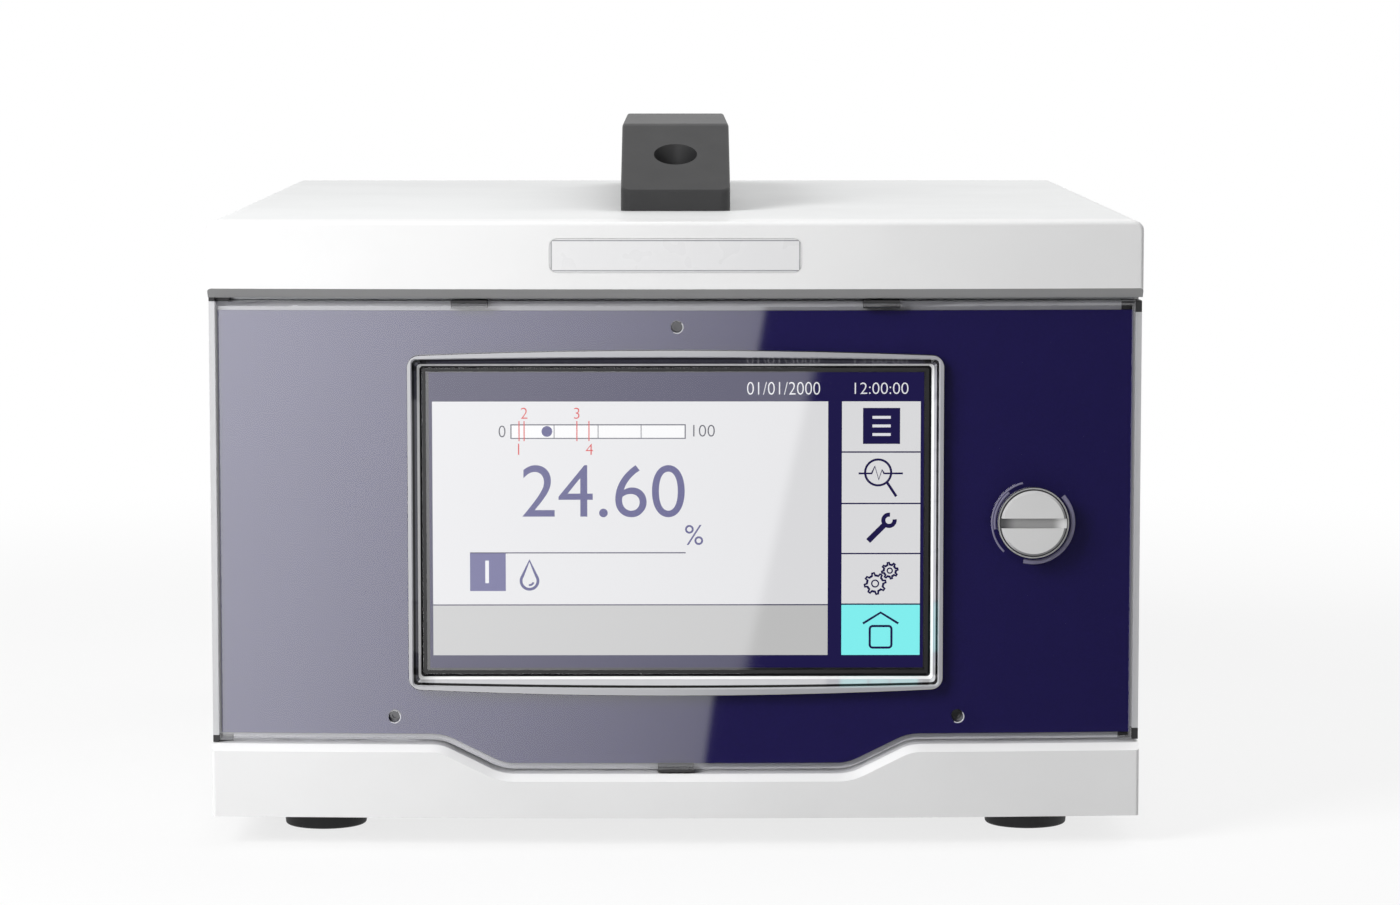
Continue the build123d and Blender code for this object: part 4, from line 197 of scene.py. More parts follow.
class Wire:
    """A value in a material. Python's operators on it add the Math nodes."""

    def __init__(self, finish, socket):
        self.finish = finish
        self.socket = socket

    def math(self, operation, other, reflected=False):
        first, second = (other, self) if reflected else (self, other)
        return self.finish.node("ShaderNodeMath", {"operation": operation}, {0: first, 1: second})

    def __add__(self, other):
        return self.math("ADD", other)

    def __radd__(self, other):
        return self.math("ADD", other, reflected=True)

    def __sub__(self, other):
        return self.math("SUBTRACT", other)

    def __rsub__(self, other):
        return self.math("SUBTRACT", other, reflected=True)

    def __mul__(self, other):
        return self.math("MULTIPLY", other)

    def __rmul__(self, other):
        return self.math("MULTIPLY", other, reflected=True)

    def __truediv__(self, other):
        return self.math("DIVIDE", other)

    def __rtruediv__(self, other):
        return self.math("DIVIDE", other, reflected=True)

    def __pow__(self, other):
        return self.math("POWER", other)

    def __gt__(self, other):
        return self.math("GREATER_THAN", other)

    def __lt__(self, other):
        return self.math("LESS_THAN", other)

    def __abs__(self):
        return self.math("ABSOLUTE", 0.0)

    def wrapped(self, period):
        return self.math("MODULO", period)

    def ramp(self, low, high):
        """0 up to low, 1 from high on, and a smooth rise between them."""
        return self.finish.node(
            "ShaderNodeMapRange",
            {"interpolation_type": "SMOOTHSTEP"},
            {"Value": self, "From Min": low, "From Max": high},
        )

    def within(self, low, high, soft):
        """1 between low and high, with soft ends."""
        return self.ramp(low - soft, low + soft) * (1 - self.ramp(high - soft, high + soft))


class Finish:
    """A procedural material: one Principled shader, and what feeds it."""

    def __init__(self, name):
        self.material = bpy.data.materials.new(name)
        self.material.use_nodes = True
        self.tree = self.material.node_tree
        self.tree.nodes.clear()
        self.shader = self.tree.nodes.new("ShaderNodeBsdfPrincipled")
        self.output = self.tree.nodes.new("ShaderNodeOutputMaterial")
        self.tree.links.new(self.shader.outputs[0], self.output.inputs["Surface"])
        self.places = None

    def node(self, kind, settings=None, inputs=None, output=0):
        """Any node, with its settings first and then the values or links of its sockets."""
        made = self.tree.nodes.new(kind)
        for key, value in (settings or {}).items():
            setattr(made, key, value)
        for key, value in (inputs or {}).items():
            self.feed(made.inputs[key], value)
        return Wire(self, made.outputs[output])

    def feed(self, socket, value):
        if isinstance(value, Wire):
            self.tree.links.new(value.socket, socket)
        elif socket.type == "RGBA" and len(value) == 3:
            socket.default_value = (*value, 1.0)
        else:
            socket.default_value = value

    def set(self, **values):
        """Shader sockets by their names, with _ for a space."""
        for key, value in values.items():
            self.feed(self.shader.inputs[key.replace("_", " ")], value)
        return self

    def place(self):
        """Object coordinates as a vector."""
        if self.places is None:
            self.places = self.node("ShaderNodeTexCoord", output="Object")
        return self.places

    def parts(self, vector):
        """X, Y and Z of a vector."""
        made = self.node("ShaderNodeSeparateXYZ", inputs={"Vector": vector}).socket.node
        return [Wire(self, made.outputs[i]) for i in range(3)]

    def millimetres(self):
        """X, Y and Z of the surface point in millimetres."""
        return [part / MM for part in self.parts(self.place())]

    def facing(self):
        """X, Y and Z of the way that the flat face looks."""
        return self.parts(self.node("ShaderNodeNewGeometry", output="True Normal"))

    def noise(self, size_mm, detail=2.0, rough=0.5):
        """Noise from 0 to 1 whose spots are about size_mm wide."""
        inputs = {"Vector": self.place(), "Scale": 1 / (size_mm * MM), "Detail": detail, "Roughness": rough}
        return self.node("ShaderNodeTexNoise", inputs=inputs)

    def stretched_noise(self, sizes_mm):
        """Noise with a size of its own along each axis, as brushing has."""
        scale = tuple(1 / (size * MM) for size in sizes_mm)
        vector = self.node("ShaderNodeMapping", inputs={"Vector": self.place(), "Scale": scale})
        return self.node("ShaderNodeTexNoise", inputs={"Vector": vector, "Scale": 1.0, "Detail": 2.0})

    def mix(self, share, first, second):
        """first where share is 0 and second where it is 1; colours."""
        node = self.tree.nodes.new("ShaderNodeMix")
        node.data_type = "RGBA"
        colours = [socket for socket in node.inputs if socket.type == "RGBA"]
        factor = next(socket for socket in node.inputs if socket.name == "Factor" and socket.type == "VALUE")
        self.feed(factor, share)
        self.feed(colours[0], first)
        self.feed(colours[1], second)
        return Wire(self, next(socket for socket in node.outputs if socket.type == "RGBA"))

    def bump(self, height, strength, distance_mm):
        """Feeds the shader's Normal with a bump of this height map."""
        inputs = {"Height": height, "Strength": strength, "Distance": distance_mm * MM}
        return self.set(Normal=self.node("ShaderNodeBump", inputs=inputs))


def shaded(colour, share):
    """The colour made darker, or lighter for a share over 1."""
    return tuple(min(value * share, 1.0) for value in colour)


def coated(name, colour, grain_mm, grain, roughness, dirt=0.96, over=None):
    """Paint or plastic: fine grain, a slow change of tone, uneven gloss, and what over does to its colour."""
    finish = Finish(name)
    tone = finish.noise(55.0, 3.0).ramp(0.3, 0.7)
    base = finish.mix(tone, shaded(colour, dirt), colour)
    finish.set(Base_Color=over(finish, base) if over else base)
    finish.set(Roughness=roughness + finish.noise(9.0) * 0.08 - 0.04)
    finish.bump(finish.noise(grain_mm, 3.0), grain, 0.05)
    return finish


def metal(name, colour, roughness, brushing_mm):
    """Bare metal with brushing along the longest of the three sizes."""
    finish = Finish(name)
    streaks = finish.stretched_noise(brushing_mm)
    finish.set(Base_Color=finish.mix(streaks, shaded(colour, 0.88), colour), Metallic=1.0)
    finish.set(Roughness=roughness + streaks * 0.12 - 0.06)
    finish.bump(streaks, 0.12, 0.03)
    return finish


def board_finish(name, axis, board_face):
    """A circuit board: tracks under green lacquer, and dark parts beyond its face along one axis."""
    finish = Finish(name)
    x, y, z = finish.millimetres()
    across = abs(x.wrapped(2.54)).within(0.9, 1.5, 0.1)
    along = abs((y + z).wrapped(5.08)).within(1.9, 2.6, 0.1)
    region = finish.noise(14.0).ramp(0.48, 0.52)
    tracks = across * region + along * (1 - region)
    lacquer = finish.mix(tracks, linear(18, 84, 48), linear(44, 122, 74))
    cell = finish.node("ShaderNodeTexVoronoi", {"feature": "F1"}, {"Vector": finish.place(), "Scale": 90.0})
    dark = finish.mix(cell > 0.45, linear(28, 28, 30), linear(64, 62, 58))
    raised = (x, y, z)[axis].ramp(board_face + 0.05, board_face + 0.15)
    finish.set(Base_Color=finish.mix(raised, lacquer, dark), Roughness=0.32 + raised * 0.2)
    finish.bump(tracks * (1 - raised), 0.3, 0.04)
    return finish


def see_through(name, tint, gloss):
    """Clear plastic or glass that lets light straight through and mirrors as gloss does."""
    finish = Finish(name)
    fresnel = finish.node("ShaderNodeFresnel", inputs={"IOR": 1.49})
    outside = 1 - finish.node("ShaderNodeNewGeometry", output="Backfacing")
    share = fresnel * outside * gloss
    clear = finish.node("ShaderNodeBsdfTransparent", inputs={"Color": tint})
    finish.set(Base_Color=(0.9, 0.9, 0.92), Metallic=1.0)
    finish.set(Roughness=0.015 + finish.noise(30.0) * 0.02)
    mirror = Wire(finish, finish.shader.outputs[0])
    mixed = finish.node("ShaderNodeMixShader", inputs={0: share, 1: clear, 2: mirror})
    finish.feed(finish.output.inputs["Surface"], mixed)
    return finish


def lit(name, colour, strength):
    """A lit field of the screen, with the fine grid of its picture points."""
    finish = Finish(name)
    x, _, z = finish.millimetres()
    grid = 1 - (abs(x.wrapped(0.3)) < 0.02) * 0.04 - (abs(z.wrapped(0.3)) < 0.02) * 0.04
    shade = finish.mix(grid, shaded(colour, 0.5), colour)
    finish.set(Base_Color=(0.0, 0.0, 0.0), Roughness=0.4, Specular_IOR_Level=0.0)
    finish.set(Emission_Color=shade, Emission_Strength=strength)
    return finish


def dress(finish, *nodes):
    """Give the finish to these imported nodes."""
    for name in nodes:
        slots = frame["nodes"][name].data.materials
        for index in range(len(slots)):
            slots[index] = finish.material
        if not slots:
            slots.append(finish.material)


# Modelling


def deselect():
    bpy.ops.object.select_all(action="DESELECT")


def pick(piece):
    """Make this the only selected object and the active one."""
    deselect()
    piece.select_set(True)
    bpy.context.view_layer.objects.active = piece


def settle(piece, name, finish, body):
    """Apply the piece's place, give it its finish and let it ride on its body."""
    pick(piece)
    bpy.ops.object.transform_apply(location=True, rotation=True, scale=True)
    piece.name = name
    piece.data.name = name
    if finish is not None:
        piece.data.materials.clear()
        piece.data.materials.append(finish.material)
    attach(piece, body)
    return piece


def join(pieces):
    deselect()
    for piece in pieces:
        piece.select_set(True)
    bpy.context.view_layer.objects.active = pieces[0]
    bpy.ops.object.join()
    return pieces[0]


def apply_modifier(piece, kind, **settings):
    pick(piece)
    modifier = piece.modifiers.new(kind.title(), kind)
    for key, value in settings.items():
        setattr(modifier, key, value)
    bpy.ops.object.modifier_apply(modifier=modifier.name)


def bisect_at(axis, places):
    """Cut the mesh in edit mode across an axis at each of these places, in millimetres."""
    normal = Vector((0.0, 0.0, 0.0))
    normal[axis] = 1.0
    for place in places:
        bpy.ops.mesh.select_all(action="SELECT")
        bpy.ops.mesh.bisect(plane_co=normal * (place * MM), plane_no=normal)


def upright_sheet(box, front):
    """A flat sheet that faces the front, over a box of X and Z, at the given depth."""
    low_x, high_x, low_z, high_z = box
    deselect()
    middle = ((low_x + high_x) / 2 * MM, front * MM, (low_z + high_z) / 2 * MM)
    bpy.ops.mesh.primitive_plane_add(size=1, location=middle, rotation=(math.radians(90), 0, 0))
    sheet = bpy.context.object
    sheet.scale = ((high_x - low_x) * MM, (high_z - low_z) * MM, 1)
    bpy.ops.object.transform_apply(location=True, rotation=True, scale=True)
    return sheet


def text_mesh(text, box, front, weight=-0.012):
    """Text as tall as a box of X and Z and no wider, made a mesh, its face at the given depth."""
    low_x, high_x, low_z, high_z = box
    deselect()
    bpy.ops.object.text_add(rotation=(math.radians(90), 0, 0))
    piece = bpy.context.object
    piece.data.body = text
    piece.data.extrude = 0.01
    piece.data.offset = weight
    bpy.ops.object.convert(target="MESH")
    piece = bpy.context.object
    bpy.ops.object.transform_apply(rotation=True)
    corners = [Vector(corner) for corner in piece.bound_box]
    low = Vector(min(corner[i] for corner in corners) for i in range(3))
    high = Vector(max(corner[i] for corner in corners) for i in range(3))
    size = high - low
    upright = (high_z - low_z) * MM / size.z
    across = min((high_x - low_x) * MM / size.x, upright)
    spare = (high_x - low_x) * MM - across * size.x
    piece.scale = (across, PRINT_THICKNESS * MM / size.y, upright)
    piece.location = (
        low_x * MM + spare / 2 - low.x * piece.scale.x,
        front * MM - low.y * piece.scale.y,
        low_z * MM - low.z * piece.scale.z,
    )
    bpy.ops.object.transform_apply(location=True, rotation=True, scale=True)
    bpy.ops.object.mode_set(mode="EDIT")
    bpy.ops.mesh.select_all(action="SELECT")
    bpy.ops.mesh.remove_doubles(threshold=0.000001)
    bpy.ops.object.mode_set(mode="OBJECT")
    return piece


def stroke(points, width, front, closed=False, thickness=PRINT_THICKNESS):
    """A line of the picture along points of X and Z, as a flat raised stroke."""
    curve = bpy.data.curves.new("stroke", "CURVE")
    curve.dimensions = "3D"
    curve.bevel_depth = width / 2 * MM
    curve.bevel_resolution = 1
    curve.use_fill_caps = True
    spline = curve.splines.new("POLY")
    spline.points.add(len(points) - 1)
    for point, (x, z) in zip(spline.points, points):
        point.co = (x * MM, 0.0, z * MM, 1.0)
    spline.use_cyclic_u = closed
    piece = bpy.data.objects.new("stroke", curve)
    bpy.context.scene.collection.objects.link(piece)
    pick(piece)
    bpy.ops.object.convert(target="MESH")
    piece = bpy.context.object
    piece.scale = (1.0, thickness / width, 1.0)
    piece.location = (0.0, front * MM, 0.0)
    bpy.ops.object.transform_apply(location=True, rotation=True, scale=True)
    return piece


def around(centre, radius, degrees):
    """The point of X and Z on a circle, in degrees from +X towards +Z."""
    angle = math.radians(degrees)
    return (centre[0] + radius * math.cos(angle), centre[1] + radius * math.sin(angle))


def arc(centre, radius, start, end, count):
    """Points on an arc, in as many steps as count says."""
    return [around(centre, radius, start + (end - start) * number / count) for number in range(count + 1)]


def circle(centre, radius, count=32):
    return arc(centre, radius, 0, 360 - 360 / count, count - 1)


def cover_front(x):
    """Depth of the bowed cover's face at this X, in millimetres."""
    return COVER_FRONT + COVER_BOW_RADIUS - math.sqrt(COVER_BOW_RADIUS**2 - x**2)


def gear_outline(centre, inner, outer, teeth):
    """The outline of a cog with tapered teeth."""
    points = []
    pitch = 360 / teeth
    for tooth in range(teeth):
        start = tooth * pitch
        for radius, share in ((inner, 0.0), (outer, 0.12), (outer, 0.38), (inner, 0.5)):
            points.append(around(centre, radius, start + share * pitch))
        points += arc(centre, inner, start + 0.5 * pitch, start + pitch, 3)[1:-1]
    return points


# Operators


class ANALYZER_OT_case(bpy.types.Operator):
    """Finish the housing: painted sheet, mouldings, handle and feet"""

    bl_idname = "analyzer.case"
    bl_label = "Case finishes"

    def execute(self, context):
        colours = context.scene.analyzer_case
        paint = coated("powder_paint", tuple(colours.paint), 0.9, 0.18, 0.46)
        dress(paint, "top_cover", "rear_panel", "base_tray")
        dress(self.moulding(tuple(colours.moulding)), "upper_fascia", "lower_fascia")
        dress(self.badge(), "badge_plate")
        dress(coated("handle_plastic", tuple(colours.handle), 0.5, 0.3, 0.5, 0.9), "carrying_handle")
        rubber = coated("rubber", tuple(colours.rubber), 0.7, 0.35, 0.7, 0.8)
        dress(rubber, "foot_front_left", "foot_front_right", "foot_rear_left", "foot_rear_right")
        dress(rubber, "door_gasket")
        steel = metal("zinc_plate", linear(196, 198, 202), 0.34, (2.0, 14.0, 2.0))
        dress(steel, "front_frame", "cover_screws", "panel_screws", "chassis_screws", "foot_screws")
        dress(steel, "handle_screws", "handle_nuts", "hinge_pins")
        return {"FINISHED"}

    def moulding(self, colour):
        """White plastic, with painted shade where a face looks down, as on the lip over the door."""

        def painted_lip_shade(finish, white):
            # Painted shade: where a face looks down at the lip's height, the white is darkened to 0.42 of
            # itself, for the shade under the lip.
            down = 0 - finish.facing()[2]
            z = finish.millimetres()[2]
            lip = down.ramp(0.25, 0.5) * z.ramp(150.0, 160.0)
            return finish.mix(lip, white, shaded(colour, 0.42))

        return coated("white_moulding", colour, 0.6, 0.05, 0.36, over=painted_lip_shade)

    def badge(self):
        """White enamel with a thin grey line just inside its edge."""
        low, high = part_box("badge_plate")

        def edge_line(finish, white):
            x, _, z = finish.millimetres()
            across = abs(x - (low.x + high.x) / 2 / MM) - (high.x - low.x) / 2 / MM
            up = abs(z - (low.z + high.z) / 2 / MM) - (high.z - low.z) / 2 / MM
            line = across.math("MAXIMUM", up).within(-0.75, -0.4, 0.08)
            return finish.mix(line, white, linear(150, 150, 154))

        return coated("badge_enamel", linear(238, 238, 239), 0.4, 0.03, 0.28, 1.0, edge_line)


class ANALYZER_OT_electronics(bpy.types.Operator):
    """Finish the boards, the supply and the connectors"""

    bl_idname = "analyzer.electronics"
    bl_label = "Electronics finishes"

    def execute(self, context):
        board_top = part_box("network_jack")[0].z / MM
        dress(board_finish("circuit_board", 2, board_top), "main_board", "power_supply_board")
        display_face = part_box("display_board")[0].y / MM + BOARD_THICKNESS
        dress(board_finish("display_circuit_board", 1, display_face), "display_board")
        steel = metal("steel_can", linear(186, 188, 192), 0.3, (1.5, 20.0, 1.5))
        dress(steel, "display_bracket", "display_screws", "supply_transformer", "service_port")
        chrome = metal("nickel_plate", linear(214, 214, 216), 0.16, (3.0, 3.0, 3.0))
        dress(chrome, "probe_sockets", "socket_nuts")
        brass = metal("brass", linear(206, 172, 104), 0.28, (2.0, 2.0, 8.0))
        dress(brass, "board_standoffs", "display_standoffs", "inlet_pins", "earth_stud", "earth_nuts")
        dress(metal("cast_aluminium", linear(176, 178, 182), 0.42, (3.0, 3.0, 12.0)), "supply_heatsink")
        dress(coated("capacitor_sleeve", linear(34, 52, 110), 1.2, 0.1, 0.3), "supply_capacitors")
        green = coated("terminal_plastic", linear(52, 142, 78), 0.6, 0.2, 0.42)
        dress(green, "terminal_headers", "terminal_plugs")
        black = coated("black_plastic", linear(36, 36, 38), 0.5, 0.25, 0.45, 0.85)
        dress(black, "power_inlet", "fuse_drawer", "power_switch", "network_jack", "socket_inserts")
        dress(coated("fuse_tube", linear(214, 218, 214), 2.0, 0.05, 0.12), "fuses")
        return {"FINISHED"}


class ANALYZER_OT_door(bpy.types.Operator):
    """Finish the door: clear cover, dark blue panel, frame and its small parts"""

    bl_idname = "analyzer.door"
    bl_label = "Door finishes"

    def execute(self, context):
        colours = context.scene.analyzer_door
        panel = Finish("blue_panel")
        speck = panel.noise(0.5, 2.0).ramp(0.35, 0.75)
        blue = tuple(colours.panel)
        panel.set(Base_Color=panel.mix(speck, shaded(blue, 0.94), shaded(blue, 1.05)), Roughness=0.5)
        panel.set(Specular_IOR_Level=0.1)
        dress(panel, "inner_door_panel")
        dress(coated("door_moulding", tuple(colours.frame), 0.6, 0.08, 0.34), "door_frame")
        dress(see_through("clear_acrylic", (0.97, 0.97, 0.98), colours.gloss), "clear_door_cover")
        black = coated("door_black", linear(30, 30, 32), 0.5, 0.2, 0.42, 0.85)
        dress(black, "door_clips", "hinge_bushes", "door_buffers")
        steel = metal("screw_steel", linear(180, 182, 186), 0.3, (1.0, 3.0, 1.0))
        dress(steel, "latch_cam", "latch_cam_nut", "latch_barrel_nut")
        dress(metal("black_screw", linear(92, 92, 94), 0.18, (1.0, 3.0, 1.0)), "door_screws")
        # Painted highlight: a light crescent on the lower right of each fixing hole's rim, where the key lamp
        # lights the hole's chamfer.
        rim_highlights = []
        for hole in FIXING_HOLES:
            rim_highlights.append(stroke(arc(hole, 1.9, -125, 40, 20), 0.34, cover_front(hole[0]), thickness=0.14))
        moulding = coated("cover_edge_highlight", linear(226, 226, 232), 0.5, 0.05, 0.2)
        settle(join(rim_highlights), "fixing_hole_rim_highlights", moulding, "door")
        return {"FINISHED"}


class ANALYZER_OT_latch(bpy.types.Operator):
    """Finish the coin latch: satin plug in a polished barrel, with painted shade on both and painted glint
    arcs on the clear collar
    """

    bl_idname = "analyzer.latch"
    bl_label = "Latch finishes"

    def execute(self, context):
        dress(self.plug(), "latch_plug")
        dress(self.barrel(), "latch_barrel")
        # Painted glints: light translucent arcs on the clear collar's wall edges, where the collar catches
        # the light.
        marks = []
        for radius, width, start, end in COLLAR_GLINT_ARCS:
            points = arc(LATCH, radius, start, end, 40)
            marks.append(stroke(points, width, COLLAR_FRONT - 0.1, thickness=0.12))
        glint_paint = coated("latch_collar_glint_finish", linear(150, 146, 176), 0.8, 0.02, 0.4)
        glint_paint.set(Alpha=0.62)
        settle(join(marks), "latch_collar_glints", glint_paint, "door")
        return {"FINISHED"}

    def radius(self, finish):
        """Distance from the latch's axis, and X and Z from it, in millimetres."""
        x, y, z = finish.millimetres()
        across = x - LATCH[0]
        up = z - LATCH[1]
        return (across * across + up * up) ** 0.5, across, y, up

    def plug(self):
        """Satin head: a pale face, painted shade in the slot with a painted lit end, a bevel with painted
        shade towards its lower right, and a painted dark line in the gap to the barrel.
        """
        plug = metal("latch_satin", linear(214, 214, 214), 0.4, (6.0, 1.0, 0.6))
        radius, across, y, up = self.radius(plug)
        slot = y.ramp(-169.3, -168.9) * up.within(-1.55, 1.55, 0.05)
        # Painted light in the slot: dark at its left end, lighter towards its lit right end, and dark along
        # its upper wall.
        floor = plug.mix(across.ramp(-9.6, -5.0), linear(84, 84, 86), linear(158, 158, 158))
        floor = plug.mix(across.ramp(5.5, 9.4), floor, linear(232, 232, 232))
        floor = plug.mix(up.ramp(1.1, 1.5), floor, linear(78, 78, 80))
        bevel = radius.ramp(9.3, 9.5)
        # Painted shade on the bevel: pale at the upper left, grey at the lower right.
        edge = plug.mix((across - up).ramp(-6.0, 8.0), linear(206, 206, 207), linear(128, 128, 130))
        face = plug.mix(bevel, linear(214, 214, 214), edge)
        # Painted shade: a dark line at the gap between plug and barrel.
        face = plug.mix(radius.ramp(9.95, 10.05), face, linear(26, 26, 28))
        plug.set(Base_Color=plug.mix(slot, face, floor), Metallic=0.55)
        return plug

    def barrel(self):
        """Polished flange: painted shade in the groove beside the plug, then a light ring, and dark again
        outside it.
        """
        barrel = metal("latch_chrome", linear(196, 196, 198), 0.24, (1.5, 1.5, 1.5))
        radius = self.radius(barrel)[0]
        # Painted shade: the flange is dark everywhere but the light ring, which takes in the groove beside
        # the plug.
        dark = 1 - radius.within(10.4, 10.85, 0.05)
        barrel.set(Base_Color=barrel.mix(dark, linear(196, 196, 198), linear(26, 26, 28)), Metallic=0.6)
        return barrel


class ANALYZER_OT_window(bpy.types.Operator):
    """Finish the window: polished walls with painted light and shade, touch glass and the display's black
    frame
    """

    bl_idname = "analyzer.window"
    bl_label = "Window finishes"

    def execute(self, context):
        walls = Finish("window_walls")
        x, y, z = walls.millimetres()
        to_right, _, to_top = walls.facing()
        # Painted shade: walls that face right or down (the left and top walls) take the shaded colour, the
        # others the lit one.
        left = to_right.ramp(0.3, 0.5)
        top = (0 - to_top).ramp(0.3, 0.5)
        shaded_side = left.math("MAXIMUM", top)
        depth = y - COVER_FRONT - x * x / (2 * COVER_BOW_RADIUS)
        # Painted light: the lit walls are lighter towards the bottom; the shaded walls darken with depth into
        # the recess.
        lit_wall_colour = walls.mix(z.ramp(46.0, 60.0), linear(226, 226, 228), linear(198, 198, 204))
        shaded_wall_colour = walls.mix(depth.ramp(1.0, 6.0), linear(88, 88, 96), linear(54, 54, 62))
        shade = walls.mix(shaded_side, lit_wall_colour, shaded_wall_colour)
        # Painted highlight: a near-white line along the polished edge. Then a near-black band towards the
        # glass and another just behind the front edge.
        line = y.within(-164.4, -163.1, 0.1)
        shade = walls.mix(line, shade, linear(250, 250, 250))
        shade = walls.mix(y.ramp(-163.15, -163.0), shade, linear(14, 14, 18))
        shade = walls.mix(depth.within(0.75, 1.9, 0.12), shade, linear(8, 8, 10))
        front = 1 - depth.ramp(0.55, 0.7)
        shade = walls.mix(front, shade, linear(186, 186, 190))
        mirror = (1 - front) * (0.45 + shaded_side * 0.25) * (1 - line) + front * 0.08
        walls.set(Base_Color=shade, Metallic=mirror, Roughness=0.1 + walls.noise(12.0) * 0.05)
        dress(walls, "window_bezel")
        dress(see_through("touch_glass", (0.98, 0.98, 0.98), 2.7), "touch_glass")
        self.gasket()
        can = coated("display_frame", linear(20, 20, 22), 0.5, 0.1, 0.4)
        dress(can, "display_module")
        return {"FINISHED"}

    def gasket(self):
        """A thin black seal on the glass, all round the foot of the walls."""
        seal = upright_sheet(GLASS_OPENING, GLASS_FRONT - 0.03)
        bpy.ops.object.mode_set(mode="EDIT")
        bpy.ops.mesh.select_all(action="SELECT")
        bpy.ops.mesh.inset(thickness=SEAL_WIDTH * MM)
        bpy.ops.mesh.delete(type="FACE")
        bpy.ops.object.mode_set(mode="OBJECT")
        apply_modifier(seal, "SOLIDIFY", thickness=0.05 * MM, offset=0.0)
        black = coated("seal_black", linear(10, 10, 14), 0.6, 0.05, 0.3)
        settle(seal, "glass_seal", black, "door")


class ANALYZER_OT_screen_fields(bpy.types.Operator):
    """Make the lit fields of the screen: bars, page, keys, gauge and marks"""

    bl_idname = "analyzer.screen_fields"
    bl_label = "Screen fields"

    def fields(self):
        """Each field's finish and box, the later ones over the earlier."""
        rows = [("ink", LIT_AREA), ("page", PAGE), ("band", BAND), ("page", KEYS), ("home", HOME_KEY)]
        rows += [("ink", (KEYS[0], KEYS[1], z - 0.22, z + 0.22)) for z in KEY_LINES]
        low_x, high_x, low_z, high_z = GAUGE
        inside = (low_x + GAUGE_LINE, high_x - GAUGE_LINE, low_z + GAUGE_LINE, high_z - GAUGE_LINE)
        rows += [("line", GAUGE), ("gauge", inside)]
        rows += [("line", (x - 0.12, x + 0.12, low_z + 0.3, high_z - 0.3)) for x in GAUGE_STEPS]
        rows += [("mark", (x - 0.17, x + 0.17, low_z - 0.7, high_z + 1.0)) for x in ALARM_MARKS]
        rows += [("ink", READING_LINE), ("channel", CHANNEL_BOX), ("ink", MENU_KEY)]
        return rows

    def execute(self, context):
        screen = context.scene.analyzer_screen
        colours = {
            "ink": tuple(screen.ink),
            "page": tuple(screen.page),
            "band": tuple(screen.band),
            "mark": tuple(screen.mark),
            "home": tuple(screen.home),
            "line": linear(54, 54, 76),
            "gauge": linear(236, 236, 237),
            "channel": linear(86, 84, 136),
        }
        rows = self.fields()
        sheet = upright_sheet(LIT_AREA, LIT_FLOOR - 0.1)
        bpy.ops.object.mode_set(mode="EDIT")
        bisect_at(0, sorted({round(edge, 3) for _, box in rows[1:] for edge in box[:2]}))
        bisect_at(2, sorted({round(edge, 3) for _, box in rows[1:] for edge in box[2:]}))
        bpy.ops.object.mode_set(mode="OBJECT")
        for name, colour in colours.items():
            sheet.data.materials.append(lit("lit_" + name, colour, screen.brightness).material)
        numbers = {name: number for number, name in enumerate(colours)}
        for face in sheet.data.polygons:
            x = face.center.x / MM
            z = face.center.z / MM
            for name, (low_x, high_x, low_z, high_z) in rows:
                if low_x < x < high_x and low_z < z < high_z:
                    face.material_index = numbers[name]
        apply_modifier(sheet, "SOLIDIFY", thickness=PRINT_THICKNESS * MM, offset=-1.0)
        settle(sheet, "screen_fields", None, "door")
        return {"FINISHED"}


class ANALYZER_OT_screen_words(bpy.types.Operator):
    """Make the digits and the plain figures on the screen"""

    bl_idname = "analyzer.screen_words"
    bl_label = "Screen figures"

    def execute(self, context):
        screen = context.scene.analyzer_screen
        power = screen.brightness
        front = LIT_FLOOR - 0.2
        pale = lit("lit_pale_text", linear(228, 228, 232), power)
        ink = lit("lit_digits", linear(62, 60, 122), power)
        grey = lit("lit_small_text", linear(40, 40, 60), power)
        red = lit("lit_red_text", tuple(screen.mark), power)
        heads = [text_mesh(screen.date, (21.9, 44.3, 138.4, 142.3), front)]
        heads.append(text_mesh(screen.clock, (54.4, 71.9, 138.6, 142.1), front))
        heads.append(text_mesh("1", (-59.5, -56.6, 80.2, 87.2), front, weight=0.006))
        settle(join(heads), "screen_bar_text", pale, "door")
        reading = text_mesh(screen.reading, (-49.4, 5.1, 100.6, 116.7), front, weight=-0.003)
        settle(reading, "screen_reading", ink, "door")
        unit = text_mesh("%", (2.0, 9.3, 92.0, 98.2), front, weight=-0.003)
        settle(unit, "screen_unit", ink, "door")
        ends = [text_mesh("0", (-54.3, -52.2, 125.3, 128.9), front)]
        ends.append(text_mesh("100", (5.0, 12.4, 125.5, 129.1), front))
        settle(join(ends), "screen_scale_text", grey, "door")
        small = [text_mesh("2", (-47.6, -45.3, 131.0, 134.4), front)]
        small.append(text_mesh("3", (-31.5, -29.2, 131.0, 134.4), front))
        small.append(text_mesh("1", (-48.9, -47.5, 119.9, 123.3), front))
        small.append(text_mesh("4", (-27.7, -25.3, 119.9, 123.3), front))
        settle(join(small), "screen_mark_text", red, "door")
        return {"FINISHED"}


